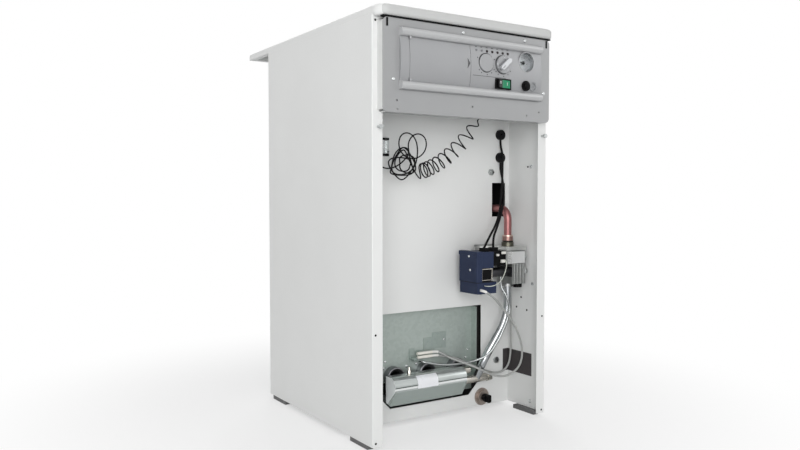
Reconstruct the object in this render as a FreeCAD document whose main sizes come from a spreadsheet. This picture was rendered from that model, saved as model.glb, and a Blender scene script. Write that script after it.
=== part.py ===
import FreeCAD, Part
import math
import os
import re
import Sketcher

# A floor-standing gas boiler with its front door off.  Millimetres, +Z up, front towards -Y.
# Places are given from three faces of the cabinet: x from its middle, y behind the front flanges
# and z above the lower edge of the side panels.

SIZES = {
    # Cabinet
    "cabinet_width": 460,
    "panel_depth": 500,
    "panel_height": 850,
    "panel_sheet": 1.5,
    "panel_bend": 2,
    "flange_width": 24,
    "rear_flange": 20,
    "top_flange": 16,
    "flange_hole": 2.5,
    "flange_hole_inset": 8,
    "flange_hole_top": 12,
    "flange_hole_middle": 223,
    "flange_hole_bottom": 7,
    "foot_height": 9,
    "foot_width": 14,
    "foot_length": 70,
    "foot_setback": 20,
    "cover_thickness": 16,
    "cover_drop": 5,
    "cover_front": 30,
    "cover_rear": 120,
    "cover_corner": 26,
    "cover_round": 6.5,
    "cover_rim": 14,
    "cover_skin": 3,
    "nose_depth": 28,
    "stud_radius": 2.5,
    "stud_head": 4.5,
    "stud_length": 14,
    "stud_inset": 13.5,
    "stud_height": 218,
    # Bulkhead, back panel and base
    "bulkhead_depth": 125,
    "bulkhead_sheet": 1.5,
    "bulkhead_top": 4,
    "opening_width": 290,
    "opening_bottom": 30,
    "opening_top": 240,
    "opening_corner": 36,
    "slot_left": 177,
    "slot_width": 41,
    "slot_bottom": 19.5,
    "slot_height": 80,
    "back_sheet": 1.2,
    "base_sheet": 1.5,
    "base_rim": 18,
    "pipe_gap": 0.4,
    # Control fascia and the box behind it
    "fascia_width": 436,
    "fascia_height": 182,
    "fascia_bottom": 190,
    "fascia_proud": 21,
    "fascia_corner": 10,
    "fascia_sheet": 1.5,
    "fascia_slot": 3,
    "fascia_slot_height": 15,
    "fascia_slot_inset": 9.5,
    "box_sheet": 1.2,
    "box_depth": 118,
    "box_bottom": 12,
    "box_top": 14,
    "box_gap": 4,
    "screw_head": 3.6,
    "screw_height": 2.2,
    # Moulded console
    "console_width": 369,
    "console_shift": 3.5,
    "console_bottom": 46,
    "console_height": 119,
    "console_depth": 16,
    "console_lip": 6,
    "rail_height": 16,
    "rail_proud": 13,
    "face_proud": 3,
    "face_crown": 5,
    "recess_floor": 4,
    "flap_left": 160,
    "flap_width": 150,
    "flap_skin": 3,
    "flap_gap": 1,
    "flap_end_gap": 0.5,
    "hinge_radius": 1.2,
    "hinge_clearance": 0.05,
    "hinge_setback": 1.5,
    "hinge_sink": 1.5,
    "hinge_reach": 6,
    "ear_radius": 2.2,
    "ear_height": 4.5,
    "notch_width": 8,
    "notch_height": 22,
    "notch_height_place": 64,
    # Controls on the console
    "knob_x": 76,
    "knob_z": 69,
    "knob_radius": 19.3,
    "knob_skirt": 5,
    "knob_grip": 9,
    "knob_grip_width": 11,
    "knob_gap": 0.6,
    "knob_round": 1.5,
    "knob_angle": 42,
    "shaft_radius": 3,
    "shaft_clearance": 0.05,
    "blank_x": 31,
    "blank_radius": 18.6,
    "blank_neck": 14,
    "blank_height": 2.2,
    "gauge_x": 143.5,
    "gauge_z": 80.5,
    "gauge_radius": 21.5,
    "gauge_wall": 1.8,
    "gauge_recess": 13,
    "gauge_floor": 3,
    "glass_thickness": 1.5,
    "glass_drop": 1.5,
    "needle_length": 15,
    "needle_width": 2,
    "needle_thickness": 0.8,
    "needle_hub": 3,
    "needle_pivot": 0.8,
    "needle_lift": 1.2,
    "switch_x": 78,
    "switch_z": 28.5,
    "switch_width": 43,
    "switch_height": 22,
    "switch_bezel": 3,
    "switch_depth": 26,
    "rocker_width": 36,
    "rocker_height": 16.5,
    "rocker_gap": 0.4,
    "rocker_tilt": 9,
    "rocker_rise": 3,
    "rocker_pin": 1.5,
    "reset_x": 142,
    "reset_z": 29.5,
    "reset_radius": 7.5,
    "reset_collar": 11,
    "collar_height": 3.5,
    "reset_proud": 5,
    "reset_gap": 0.3,
    "fuse_x": 165,
    "fuse_radius": 10,
    "fuse_wall": 1.8,
    "fuse_recess": 4,
    "control_fit": 0.2,
    "lamp_x": 6.5,
    "lamp_pitch": 14.3,
    "lamp_z": 93.5,
    "lamp_radius": 2.3,
    "lamp_proud": 1.2,
    # Cast-iron heat exchanger and its jacket
    "section_pitch": 86,
    "section_width": 60,
    "section_depth": 300,
    "section_top": 210,
    "chamber_top": 230,
    "leg_width": 26,
    "rear_leg": 25,
    "nipple_radius": 24,
    "nipple_bore": 18,
    "nipple_inset": 45,
    "tie_radius": 5,
    "tie_gap": 0.3,
    "tie_overhang": 9,
    "jacket_wall": 10,
    "jacket_front": 18,
    "jacket_rear": 13,
    "jacket_bottom": 256,
    # Flue and water connections
    "collector_height": 80,
    "collector_sheet": 1.5,
    "duct_width": 180,
    "duct_bottom": 15,
    "duct_height": 60,
    "duct_end": 506,
    "hood_width": 210,
    "hood_bottom": 470,
    "hood_top": 4,
    "hood_depth": 112,
    "hood_sheet": 1.2,
    "flue_radius": 65,
    "flue_wall": 1.2,
    "flue_height": 98,
    "flue_reach": 165,
    "flue_flange": 75,
    "water_radius": 21.2,
    "water_wall": 3,
    "water_x": 129,
    "flow_height": 50,
    "return_height": 275,
    "pipe_reach": 60,
    "water_thread": 20.9,
    "water_thread_length": 25,
    # Burner compartment
    "shield_recess": 21,
    "shield_sheet": 1.2,
    "shield_half": 133,
    "shield_bottom": 38,
    "shield_top": 252,
    "shield_lip_bottom": 62,
    "shield_lip_top": 236,
    "shield_lip_gap": 1.5,
    "burner_pitch": 86,
    "burner_shift": -5,
    "burner_height": 96,
    "burner_radius": 17,
    "burner_wall": 1.5,
    "burner_fit": 0.3,
    "mouth_radius": 23,
    "mouth_bore": 14,
    "mouth_reach": 18,
    "port_length": 24,
    "port_width": 3,
    "port_pitch": 14,
    "manifold_depth": 104,
    "manifold_radius": 8,
    "manifold_right": 92,
    "injector_radius": 4,
    "injector_gap": 2,
    "guard_left": 123,
    "guard_right": 72,
    "guard_top": 105.5,
    "guard_nose": 84,
    "guard_rear": 120,
    "guard_sheet": 1.2,
    "guard_round": 20,
    "guard_chin": 76,
    "guard_toe": 103,
    "guard_bottom": 42,
    "guard_slope": 0.32,
    "feed_height": 73,
    "feed_radius": 9,
    "feed_right": 155,
    "feed_plug": 11,
    "feed_plug_length": 10,
    "feed_riser": 5,
    "feed_riser_x": 62,
    "pilot_left": -46,
    "pilot_right": 12,
    "pilot_bottom": 122,
    "pilot_top": 152,
    "pilot_plate": 2,
    "electrode_radius": 3.5,
    "electrode_left": -30,
    "electrode_right": 10,
    "electrode_height": 141,
    "electrode_drop": 9,
    "electrode_standoff": 8,
    # Gas valve and ignition controller
    "valve_x": 189,
    "valve_y": 82,
    "valve_width": 58,
    "valve_depth": 56,
    "valve_top": 380,
    "valve_plate": 8,
    "valve_shoulder": 340,
    "valve_foot": 293,
    "valve_foot_left": 181,
    "valve_foot_right": 221,
    "neck_radius": 11,
    "neck_height": 321,
    "cap_radius": 10,
    "cap_x": 207,
    "cap_y": 67,
    "cap_height": 9,
    "controller_left": 61,
    "controller_right": 75,
    "controller_front": 36,
    "controller_depth": 64,
    "controller_bottom": 279,
    "controller_top": 374,
    "controller_lid": 9,
    "controller_lid_lip": 2,
    "controller_round": 3,
    "tower_right": 109.5,
    "tower_bottom": 336.5,
    "tower_top": 372,
    "tray_right": 118,
    "tray_top": 305,
    "tray_setback": 2,
    "coil_left": 80,
    "coil_setback": 10,
    "coil_gap": 1,
    "bracket_sheet": 2.5,
    "bracket_left": 105,
    "bracket_top": 385,
    "plug_height": 8,
    "plug_half": 8,
    # Gas pipes
    "inlet_radius": 9,
    "inlet_wall": 1,
    "inlet_height": 87.5,
    "inlet_bend": 26,
    "inlet_reach": 60,
    "inlet_thread": 13.2,
    "inlet_thread_length": 16,
    "union_flange": 14.2,
    "union_flange_height": 9,
    "union_nut": 13.5,
    "union_nut_height": 4,
    "union_collar": 12.5,
    "union_collar_height": 13,
    "supply_radius": 9,
    "supply_knee": 212,
    "supply_x": 114,
    "supply_gap": 0.3,
    "pilot_tube_radius": 2.5,
    # Drain cock
    "drain_x": 147,
    "drain_height": 21,
    "drain_pipe": 9,
    "drain_hole": 17,
    "drain_body": 15,
    "drain_flange": 20.5,
    "drain_flange_sheet": 2.5,
    "drain_front": 116,
    "drain_back": 134,
    "drain_knob_radius": 9.5,
    "drain_knob_length": 22,
    "drain_stem": 4,
    "drain_stem_length": 8,
    "drain_gap": 0.5,
    # Cords and their grommets
    "grommet_radius": 12,
    "grommet_neck": 8,
    "grommet_lip": 8,
    "grommet_x": 199,
    "grommet_upper": 642,
    "grommet_lower": 588,
    "sensor_grommet_x": -178,
    "sensor_grommet_z": 655,
    "cable_radius": 2.6,
    "lead_radius": 1.6,
    "earth_radius": 0.9,
    "sensor_radius": 1.2,
    "cord_fit": 0.2,
    "hank_step": 5.4,
    # Small fixings
    "nut_radius": 8,
    "nut_height": 5,
    "pad_sheet": 1,
    "pad_bottom": 75,
    "pad_top": 128,
    "pad_front": 41,
    "pad_left": 213,
    "clip_left": -146,
    "clip_right": -115,
    "clip_bottom": 583,
    "clip_top": 622,
    "clip_height": 5,
    "clip_slot": 7,
}

# Heights that are measured from another height, and so move with it.
MEASURED_FROM = {
    "flange_hole_top": "panel_height -",
    "stud_height": "panel_height -",
    "bulkhead_top": "panel_height -",
    "fascia_bottom": "panel_height -",
    "box_top": "panel_height -",
    "section_top": "panel_height -",
    "hood_top": "panel_height -",
    "flue_height": "panel_height -",
    "box_bottom": "fascia_bottom +",
    "console_bottom": "fascia_bottom +",
    "notch_height_place": "console_bottom +",
    "knob_z": "console_bottom +",
    "gauge_z": "console_bottom +",
    "switch_z": "console_bottom +",
    "reset_z": "console_bottom +",
    "lamp_z": "console_bottom +",
    "duct_bottom": "section_top +",
    "flow_height": "section_top -",
    "inlet_height": "valve_top +",
    "slot_bottom": "inlet_height -",
}

INDICATOR_LAMPS = 7
BURNER_BARS = 3
BURNER_PORTS = 16
CURLS = 10

Vector = FreeCAD.Vector
doc = FreeCAD.newDocument("GasBoiler")
sheet = doc.addObject("Spreadsheet::Sheet", "Sizes")
for row, (alias, number) in enumerate(SIZES.items(), start=1):
    sheet.set(f"A{row}", alias)
    sheet.set(f"B{row}", str(number))
    sheet.setAlias(f"B{row}", alias)
doc.recompute()

# The origin is on the floor, under the middle of the whole boiler.
FRONT_REACH = "(fascia_proud + face_proud + face_crown + knob_gap + knob_skirt + knob_grip)"
FRONT_Y = f"({FRONT_REACH} - panel_depth - flue_reach)/2"
FASCIA_Y = "(-fascia_proud)"
CROWN_Y = "(-fascia_proud - face_proud - face_crown)"
CONSOLE_TOP = "(console_bottom + console_height)"
CONSOLE_MIDDLE = "(console_bottom + console_height/2)"
RECESS_LOW = "(console_bottom + rail_height)"
RECESS_HIGH = "(console_bottom + console_height - rail_height)"
INSIDE = "(cabinet_width/2 - panel_sheet)"
BULKHEAD_BACK = "(bulkhead_depth + bulkhead_sheet)"
BACK_PANEL_Y = "(panel_depth - panel_sheet - back_sheet)"
SHIELD_Y = "(bulkhead_depth + shield_recess)"
SECTION_Y = "(bulkhead_depth + shield_recess + shield_sheet)"
SECTION_BACK = "(bulkhead_depth + shield_recess + shield_sheet + section_depth)"
BLOCK_HALF = "(1.5*section_pitch + section_width/2)"
VALVE_FRONT = "(valve_y - valve_depth/2)"
CONTROLLER_BACK = "(controller_front + controller_depth)"
SWITCH_FRONT = "(-fascia_proud - face_proud - face_crown/2 - switch_bezel)"
RESET_FRONT = f"({SWITCH_FRONT} - 1)"

pieces = []
AXIS_TURN = {
    "x": FreeCAD.Rotation(Vector(0, 1, 0), 90),
    "y": FreeCAD.Rotation(Vector(1, 0, 0), -90),
    "z": FreeCAD.Rotation(),
}


def bound(formula):
    """A formula in size names, written as an expression that reads the sheet."""

    def read(word):
        name = word[0]
        cell = f"Sizes.{name}" if name in SIZES else name
        return f"({bound(MEASURED_FROM[name])} {cell})" if name in MEASURED_FROM else cell

    return re.sub(r"[a-z_]+", read, formula)


def value(formula):
    return float(sheet.evalExpression(bound(formula)))


def spot(x, y, z):
    return Vector(value(x), value(y), value(z))


def tie(item, formulas):
    for name, formula in formulas.items():
        item.setExpression(name, bound(formula))


def move(item, x="0", y="0", z="0"):
    tie(item, {"Placement.Base.x": x, "Placement.Base.y": y, "Placement.Base.z": z})


def seat(item, label, x="0", y="0", z="0"):
    """Makes an object a sub-part of the boiler, standing on its feet about the origin."""
    item.Label = label
    move(item, x, f"{FRONT_Y} + {y}", f"foot_height + {z}")
    pieces.append(item)
    return item


def block(x, y, z):
    """A box between two formulas on each axis."""
    made = doc.addObject("Part::Box", "Block")
    for side, axis, (low, high) in zip(("Length", "Width", "Height"), "xyz", (x, y, z)):
        tie(made, {side: f"({high}) - ({low})", f"Placement.Base.{axis}": low})
    return made


def rod(radius, along, span, across):
    """A cylinder along one axis; across gives its place on the two other axes."""
    made = doc.addObject("Part::Cylinder", "Rod")
    made.Placement = FreeCAD.Placement(Vector(), AXIS_TURN[along])
    place = dict(zip([axis for axis in "xyz" if axis != along], across))
    place[along] = span[0]
    tie(made, {"Radius": radius, "Height": f"({span[1]}) - ({span[0]})"})
    move(made, **place)
    return made


def hexagon(radius, along, span, across):
    made = doc.addObject("Part::Prism", "Hexagon")
    made.Polygon = 6
    made.Placement = FreeCAD.Placement(Vector(), AXIS_TURN[along])
    place = dict(zip([axis for axis in "xyz" if axis != along], across))
    place[along] = span[0]
    tie(made, {"Circumradius": radius, "Height": f"({span[1]}) - ({span[0]})"})
    move(made, **place)
    return made


def cut(base, *tools):
    for tool in tools:
        made = doc.addObject("Part::Cut", "Cut")
        made.Base = base
        made.Tool = tool
        base = made
    return base


def join(*parts):
    made = doc.addObject("Part::MultiFuse", "Join")
    made.Shapes = list(parts)
    made.Refine = True
    return made


def group(*parts):
    made = doc.addObject("Part::Compound", "Group")
    made.Links = list(parts)
    return made


def new_body(name):
    return doc.addObject("PartDesign::Body", name)


def new_sketch(body, role, offset):
    made = body.newObject("Sketcher::SketchObject", "Sketch")
    plane = next(item for item in body.Origin.OriginFeatures if item.Role == role)
    made.AttachmentSupport = [(plane, "")]
    made.MapMode = "FlatFace"
    tie(made, {"AttachmentOffset.Base.z": offset})
    return made


def fix_point(sketch, geometry, end, x, y):
    """Ties a sketch point to formulas for its distance from the sketch's origin."""
    for kind, formula in (("DistanceX", x), ("DistanceY", y)):
        rule = Sketcher.Constraint(kind, -1, 1, geometry, end, value(formula))
        tie(sketch, {f"Constraints[{sketch.addConstraint(rule)}]": formula})


def outline(body, role, corners, offset="0"):
    """A closed sketch; a corner with four formulas bows the edge after it through a second point."""
    sketch = new_sketch(body, role, offset)
    spots = [Vector(value(corner[0]), value(corner[1]), 0) for corner in corners]
    ends = []
    for index, corner in enumerate(corners):
        start = spots[index]
        finish = spots[(index + 1) % len(spots)]
        if len(corner) == 2:
            edge = Part.LineSegment(start, finish)
            order = (1, 2)
        else:
            crest = Vector(value(corner[2]), value(corner[3]), 0)
            edge = Part.Arc(start, crest, finish)
            order = (1, 2) if (crest - start).cross(finish - crest).z > 0 else (2, 1)
        ends.append((sketch.addGeometry(edge), order))
    for index, corner in enumerate(corners):
        geometry, order = ends[index]
        following, following_order = ends[(index + 1) % len(ends)]
        sketch.addConstraint(Sketcher.Constraint("Coincident", geometry, order[1], following, following_order[0]))
        fix_point(sketch, geometry, order[0], corner[0], corner[1])
        if len(corner) == 4:
            crest = sketch.addGeometry(Part.Point(Vector(value(corner[2]), value(corner[3]), 0)), True)
            fix_point(sketch, crest, 1, corner[2], corner[3])
            sketch.addConstraint(Sketcher.Constraint("PointOnObject", crest, 1, geometry))
    return sketch


def rectangle(body, role, x, y, offset="0"):
    return outline(body, role, [(x[0], y[0]), (x[1], y[0]), (x[1], y[1]), (x[0], y[1])], offset)


def circles(body, role, rounds, offset="0"):
    sketch = new_sketch(body, role, offset)
    for x, y, radius in rounds:
        centre = Vector(value(x), value(y), 0)
        geometry = sketch.addGeometry(Part.Circle(centre, Vector(0, 0, 1), value(radius)))
        fix_point(sketch, geometry, 3, x, y)
        rule = Sketcher.Constraint("Radius", geometry, value(radius))
        tie(sketch, {f"Constraints[{sketch.addConstraint(rule)}]": radius})
    return sketch


def feature(body, kind, sketch, length, reverse=False, both=False):
    made = body.newObject(f"PartDesign::{kind}", kind)
    made.Profile = sketch
    made.Reversed = reverse
    if both:
        made.SideType = "Symmetric"
    tie(made, {"Length": length})
    return made


def pad(body, sketch, length, reverse=False, both=False):
    return feature(body, "Pad", sketch, length, reverse, both)


def pocket(body, sketch, length, reverse=False, both=False):
    return feature(body, "Pocket", sketch, length, reverse, both)


def turned(name, profile):
    """A body of revolution about its own Z axis, from corners of radius and height."""
    body = new_body(name)
    sketch = outline(body, "XZ_Plane", profile)
    made = body.newObject("PartDesign::Revolution", "Revolution")
    made.Profile = sketch
    made.ReferenceAxis = (sketch, ["V_Axis"])
    return body


def face_front(body, turn=0):
    """Turns a body's own Z axis to the boiler's front, and the body about that axis."""
    spin = FreeCAD.Rotation(Vector(0, 0, 1), turn)
    body.Placement = FreeCAD.Placement(Vector(), FreeCAD.Rotation(Vector(1, 0, 0), 90).multiply(spin))
    return body


def soften(body, radius, chosen):
    """Rounds the edges of the body that the chosen test picks."""
    doc.recompute()
    base = body.Tip
    names = [f"Edge{number}" for number, edge in enumerate(base.Shape.Edges, 1) if chosen(edge)]
    made = body.newObject("PartDesign::Fillet", "Fillet")
    made.Base = (base, names)
    tie(made, {"Radius": radius})


def upright_at(corners):
    """A test for vertical edges that stand on one of the corners."""
    places = [(value(x), value(y)) for x, y in corners]

    def chosen(edge):
        first = edge.Vertexes[0].Point
        last = edge.Vertexes[-1].Point
        upright = abs(first.x - last.x) + abs(first.y - last.y) < 1e-4 and abs(first.z - last.z) > 1e-4
        return upright and any(abs(first.x - x) + abs(first.y - y) < 1e-3 for x, y in places)

    return chosen


# Side panels: folded steel, with flanges at the front, the rear and the top.


def side_panel(label, side):
    def inward(depth):
        return f"{side}*(cabinet_width/2 - ({depth}))"

    panel = new_body(label)
    pad(panel, outline(panel, "XY_Plane", [
        (inward("0"), "0"),
        (inward("flange_width"), "0"),
        (inward("flange_width"), "panel_sheet"),
        (inward("panel_sheet"), "panel_sheet"),
        (inward("panel_sheet"), "panel_depth - panel_sheet"),
        (inward("rear_flange"), "panel_depth - panel_sheet"),
        (inward("rear_flange"), "panel_depth"),
        (inward("0"), "panel_depth"),
    ]), "panel_height")
    top = rectangle(panel, "XY_Plane", (inward("0"), inward("top_flange")), ("0", "panel_depth"),
                    "panel_height - panel_sheet")
    pad(panel, top, "panel_sheet")
    heights = ("flange_hole_top", "flange_hole_middle", "flange_hole_bottom")
    holes = circles(panel, "XZ_Plane", [(inward("flange_hole_inset"), z, "flange_hole") for z in heights])
    pocket(panel, holes, "4*panel_sheet", both=True)
    soften(panel, "panel_bend", upright_at([(inward("0"), "0"), (inward("0"), "panel_depth")]))
    return seat(panel, label)


side_panel("left_side_panel", "-1")
side_panel("right_side_panel", "1")

# Feet: short channels under the front and rear ends of both side panels.

feet = []
for side in ("-1", "1"):
    edge = sorted((f"{side}*cabinet_width/2", f"{side}*(cabinet_width/2 - foot_width)"), key=value)
    for start in ("foot_setback", "panel_depth - foot_setback - foot_length"):
        feet.append(block(edge, (start, f"{start} + foot_length"), ("-foot_height", "0")))
seat(group(*feet), "feet")

# Top cover: one shell with rounded corners and a bull nose that hangs over the fascia.


def top_cover():
    cover = new_body("top_cover")
    half = "cabinet_width/2"
    plan = [(f"-{half}", "-cover_front"), (half, "-cover_front"), (half, "panel_depth + cover_rear"),
            (f"-{half}", "panel_depth + cover_rear")]
    pad(cover, outline(cover, "XY_Plane", plan, "panel_height"), "cover_thickness")
    nose = rectangle(cover, "XY_Plane", (f"-{half}", half), ("-cover_front", "-cover_front + nose_depth"),
                     "panel_height")
    pad(cover, nose, "cover_drop", reverse=True)
    hollow = rectangle(cover, "XY_Plane", (f"-{half} + cover_rim", f"{half} - cover_rim"),
                       ("-cover_front + nose_depth + cover_rim", "panel_depth + cover_rear - cover_rim"),
                       "panel_height")
    pocket(cover, hollow, "cover_thickness - cover_skin", reverse=True)
    soften(cover, "cover_corner", upright_at(plan[:2]))
    top = value("panel_height + cover_thickness")
    low = value("panel_height - cover_drop")
    nose_back = value("-cover_front + nose_depth")

    def nosing(edge):
        box = edge.BoundBox
        upper = box.ZMin > top - 1e-3
        lower = box.ZMax < low + 1e-3 and box.YMin < nose_back - 1e-3
        return upper or lower

    soften(cover, "cover_round", nosing)
    return seat(cover, "top_cover")


top_cover()

# Door studs: headed pins on the front flanges that carry the door.

studs = []
for side in ("-1", "1"):
    place = (f"{side}*(cabinet_width/2 - stud_inset)", "stud_height")
    shank = rod("stud_radius", "y", ("-stud_length", "0"), place)
    head = rod("stud_head", "y", ("-stud_length", "-stud_length + stud_head"), place)
    studs.append(join(shank, head))
seat(group(*studs), "door_studs")

# Front bulkhead: the white inner wall, cut for the burners, the gas pipe, the cords and the drain cock.


def front_bulkhead():
    wall = new_body("front_bulkhead")
    depth = "-bulkhead_depth"
    pad(wall, rectangle(wall, "XZ_Plane", (f"-{INSIDE}", INSIDE), ("0", "bulkhead_top"), depth),
        "bulkhead_sheet", reverse=True)
    half = "opening_width/2"
    opening = outline(wall, "XZ_Plane", [
        (f"-{half} + opening_corner", "opening_bottom"),
        (f"{half} - opening_corner", "opening_bottom"),
        (half, "opening_bottom + opening_corner"),
        (half, "opening_top"),
        (f"-{half}", "opening_top"),
        (f"-{half}", "opening_bottom + opening_corner"),
    ], depth)
    slot = rectangle(wall, "XZ_Plane", ("slot_left", "slot_left + slot_width"),
                     ("slot_bottom", "slot_bottom + slot_height"), depth)
    rounds = circles(wall, "XZ_Plane", [
        ("grommet_x", "grommet_upper", "grommet_neck"),
        ("grommet_x", "grommet_lower", "grommet_neck"),
        ("sensor_grommet_x", "sensor_grommet_z", "grommet_neck"),
        ("drain_x", "drain_height", "drain_hole"),
    ], depth)
    for sketch in (opening, slot, rounds):
        pocket(wall, sketch, "4*bulkhead_sheet", both=True)
    return seat(wall, "front_bulkhead")


front_bulkhead()

# Back panel: closes the rear between the panel flanges, with ways out for the pipes and the flue duct.

back = block((f"-{INSIDE}", INSIDE), (BACK_PANEL_Y, "panel_depth - panel_sheet"),
             ("0", "panel_height - panel_sheet"))
way = (f"{BACK_PANEL_Y} - 1", "panel_depth")
seat(cut(
    back,
    rod("water_radius + pipe_gap", "y", way, ("water_x", "flow_height")),
    rod("water_radius + pipe_gap", "y", way, ("water_x", "return_height")),
    rod("inlet_radius + pipe_gap", "y", way, ("valve_x", "inlet_height")),
    block(("-duct_width/2 - pipe_gap", "duct_width/2 + pipe_gap"), way,
          ("duct_bottom - pipe_gap", "duct_bottom + duct_height + pipe_gap")),
), "back_panel")

# Base tray: carries the heat exchanger behind the bulkhead.

tray = block((f"-{INSIDE}", INSIDE), (BULKHEAD_BACK, BACK_PANEL_Y), ("0", "base_rim"))
tray_well = block((f"-{INSIDE} + base_sheet", f"{INSIDE} - base_sheet"),
                  (f"{BULKHEAD_BACK} + base_sheet", f"{BACK_PANEL_Y} - base_sheet"), ("base_sheet", "2*base_rim"))
tray_drain = rod("drain_hole", "y", ("bulkhead_depth", "drain_back + 2"), ("drain_x", "drain_height"))
seat(cut(tray, tray_well, tray_drain), "base_tray")

# Control fascia: a folded plate that stands on the front flanges, cut out for the console.


def control_fascia():
    plate = new_body("control_fascia")
    half = "fascia_width/2"
    top = "fascia_bottom + fascia_height"
    pad(plate, rectangle(plate, "XZ_Plane", (f"-{half}", half), ("fascia_bottom", top)), "fascia_proud")
    corners = [(x, z) for x in (value(f"-{half}"), value(half)) for z in (value("fascia_bottom"), value(top))]

    def corner(edge):
        box = edge.BoundBox
        along_y = box.XLength + box.ZLength < 1e-4
        return along_y and any(abs(box.XMin - x) + abs(box.ZMin - z) < 1e-3 for x, z in corners)

    soften(plate, "fascia_corner", corner)
    hollow = rectangle(plate, "XZ_Plane", (f"-{half} + fascia_sheet", f"{half} - fascia_sheet"),
                       ("fascia_bottom + fascia_sheet", f"{top} - fascia_sheet"))
    pocket(plate, hollow, "fascia_proud - fascia_sheet", reverse=True)
    window = rectangle(plate, "XZ_Plane",
                       ("console_shift - console_width/2 + console_lip", "console_shift + console_width/2 - console_lip"),
                       ("console_bottom + console_lip", f"{CONSOLE_TOP} - console_lip"), "fascia_proud")
    slots = [rectangle(plate, "XZ_Plane",
                       (f"{side}*({half} - fascia_slot_inset) - fascia_slot/2",
                        f"{side}*({half} - fascia_slot_inset) + fascia_slot/2"),
                       (f"{top} - 2 - fascia_slot_height", f"{top} - 2"), "fascia_proud") for side in ("-1", "1")]
    holes = circles(plate, "XZ_Plane", [
        ("-fascia_width/2 + 32.5", "fascia_bottom + 23.7", "1.8"),
        ("-fascia_width/2 + 33.6", "fascia_bottom + 6.4", "1.8"),
        ("1", "fascia_bottom + 22.6", "1.8"),
        ("fascia_width/2 - 66.5", "fascia_bottom + 12.5", "1.8"),
        ("fascia_width/2 - 30", "fascia_bottom + 22", "1.6"),
    ], "fascia_proud")
    for sketch in (window, *slots, holes):
        pocket(plate, sketch, "4*fascia_sheet", both=True)
    return seat(plate, "control_fascia")


control_fascia()

fascia_screw_places = [("-25", "fascia_bottom + 172"), ("144", "fascia_bottom + 174"), ("-195", "fascia_bottom + 64"),
                       ("200", "fascia_bottom + 64")]
seat(group(*[
    rod("screw_head", "y", (f"{FASCIA_Y} - screw_height", FASCIA_Y), place) for place in fascia_screw_places
]), "fascia_screws")

# Control box: the sheet tray behind the fascia that holds the electrics.

box_half = "(cabinet_width/2 - flange_width - box_gap)"
box_front = f"({FASCIA_Y} + fascia_sheet)"
box_back = f"({box_front} + box_depth)"
box_shell = block((f"-{box_half}", box_half), (box_front, box_back), ("box_bottom", "box_top"))
box_room = block((f"-{box_half} + box_sheet", f"{box_half} - box_sheet"),
                 (f"{box_front} - 1", f"{box_back} - box_sheet"), ("box_bottom + box_sheet", "box_top - box_sheet"))
sensor_way = rod("sensor_radius + cord_fit", "z", ("box_bottom - 1", "box_bottom + 5"), ("66", "30"))
seat(cut(box_shell, box_room, sensor_way), "control_box")

# Console: a moulded frame with two round rails, a crowned face and a recess behind the flap.


def console_frame():
    frame = new_body("console_frame")
    left = "console_shift - console_width/2"
    edge = "-fascia_proud - face_proud"
    profile = outline(frame, "YZ_Plane", [
        (FASCIA_Y, "console_bottom", "-fascia_proud - rail_proud", "console_bottom + rail_height/2"),
        (edge, RECESS_LOW, CROWN_Y, CONSOLE_MIDDLE),
        (edge, RECESS_HIGH, "-fascia_proud - rail_proud", f"{CONSOLE_TOP} - rail_height/2"),
        (FASCIA_Y, CONSOLE_TOP),
    ], left)
    pad(frame, profile, "console_width")
    inset = "(console_lip + control_fit)"
    rear = rectangle(frame, "XZ_Plane", (f"{left} + {inset}", f"{left} + console_width - {inset}"),
                     (f"console_bottom + {inset}", f"{CONSOLE_TOP} - {inset}"), "fascia_proud")
    pad(frame, rear, "console_depth", reverse=True)
    front = "fascia_proud + rail_proud + 1"
    through = f"{front} + console_depth"
    recess = rectangle(frame, "XZ_Plane", ("-flap_left - flap_gap", "-flap_left + flap_width + flap_gap"),
                       (RECESS_LOW, RECESS_HIGH), front)
    pocket(frame, recess, "rail_proud + 1 + console_depth - recess_floor")
    pivot = ("-flap_left + hinge_setback", f"{CROWN_Y} + hinge_sink", "hinge_radius + hinge_clearance")
    pocket(frame, circles(frame, "XY_Plane", [pivot], RECESS_LOW), "hinge_reach + 1")
    pocket(frame, circles(frame, "XY_Plane", [pivot], RECESS_HIGH), "hinge_reach + 1", reverse=True)
    rounds = [
        ("knob_x", "knob_z", "shaft_radius + shaft_clearance"),
        ("blank_x", "knob_z", "blank_neck + control_fit"),
        ("gauge_x", "gauge_z", "gauge_radius + control_fit"),
        ("reset_x", "reset_z", "reset_collar - 2 + control_fit"),
        ("fuse_x", "reset_z", "fuse_radius + control_fit"),
    ]
    rounds += [(f"lamp_x + {number}*lamp_pitch", "lamp_z", "lamp_radius") for number in range(INDICATOR_LAMPS)]
    pocket(frame, circles(frame, "XZ_Plane", rounds, front), through)
    body_half = "(switch_width/2 - switch_bezel + control_fit)"
    switch = rectangle(frame, "XZ_Plane", (f"switch_x - {body_half}", f"switch_x + {body_half}"),
                       ("switch_z - switch_height/2 + switch_bezel/2 - control_fit",
                        "switch_z + switch_height/2 - switch_bezel/2 + control_fit"), front)
    pocket(frame, switch, through)
    bezel_seat = rectangle(frame, "XZ_Plane",
                           ("switch_x - switch_width/2 - control_fit", "switch_x + switch_width/2 + control_fit"),
                           ("switch_z - switch_height/2 - control_fit", "switch_z + switch_height/2 + control_fit"),
                           front)
    pocket(frame, bezel_seat, f"{front} + {SWITCH_FRONT} + switch_bezel")
    collar_seat = circles(frame, "XZ_Plane", [("reset_x", "reset_z", "reset_collar + control_fit")], front)
    pocket(frame, collar_seat, f"{front} + {RESET_FRONT} + collar_height")
    return seat(frame, "console_frame")


console_frame()

# Console flap: a crowned lid on two stub pins at its left edge, with a finger notch at its right.


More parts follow.
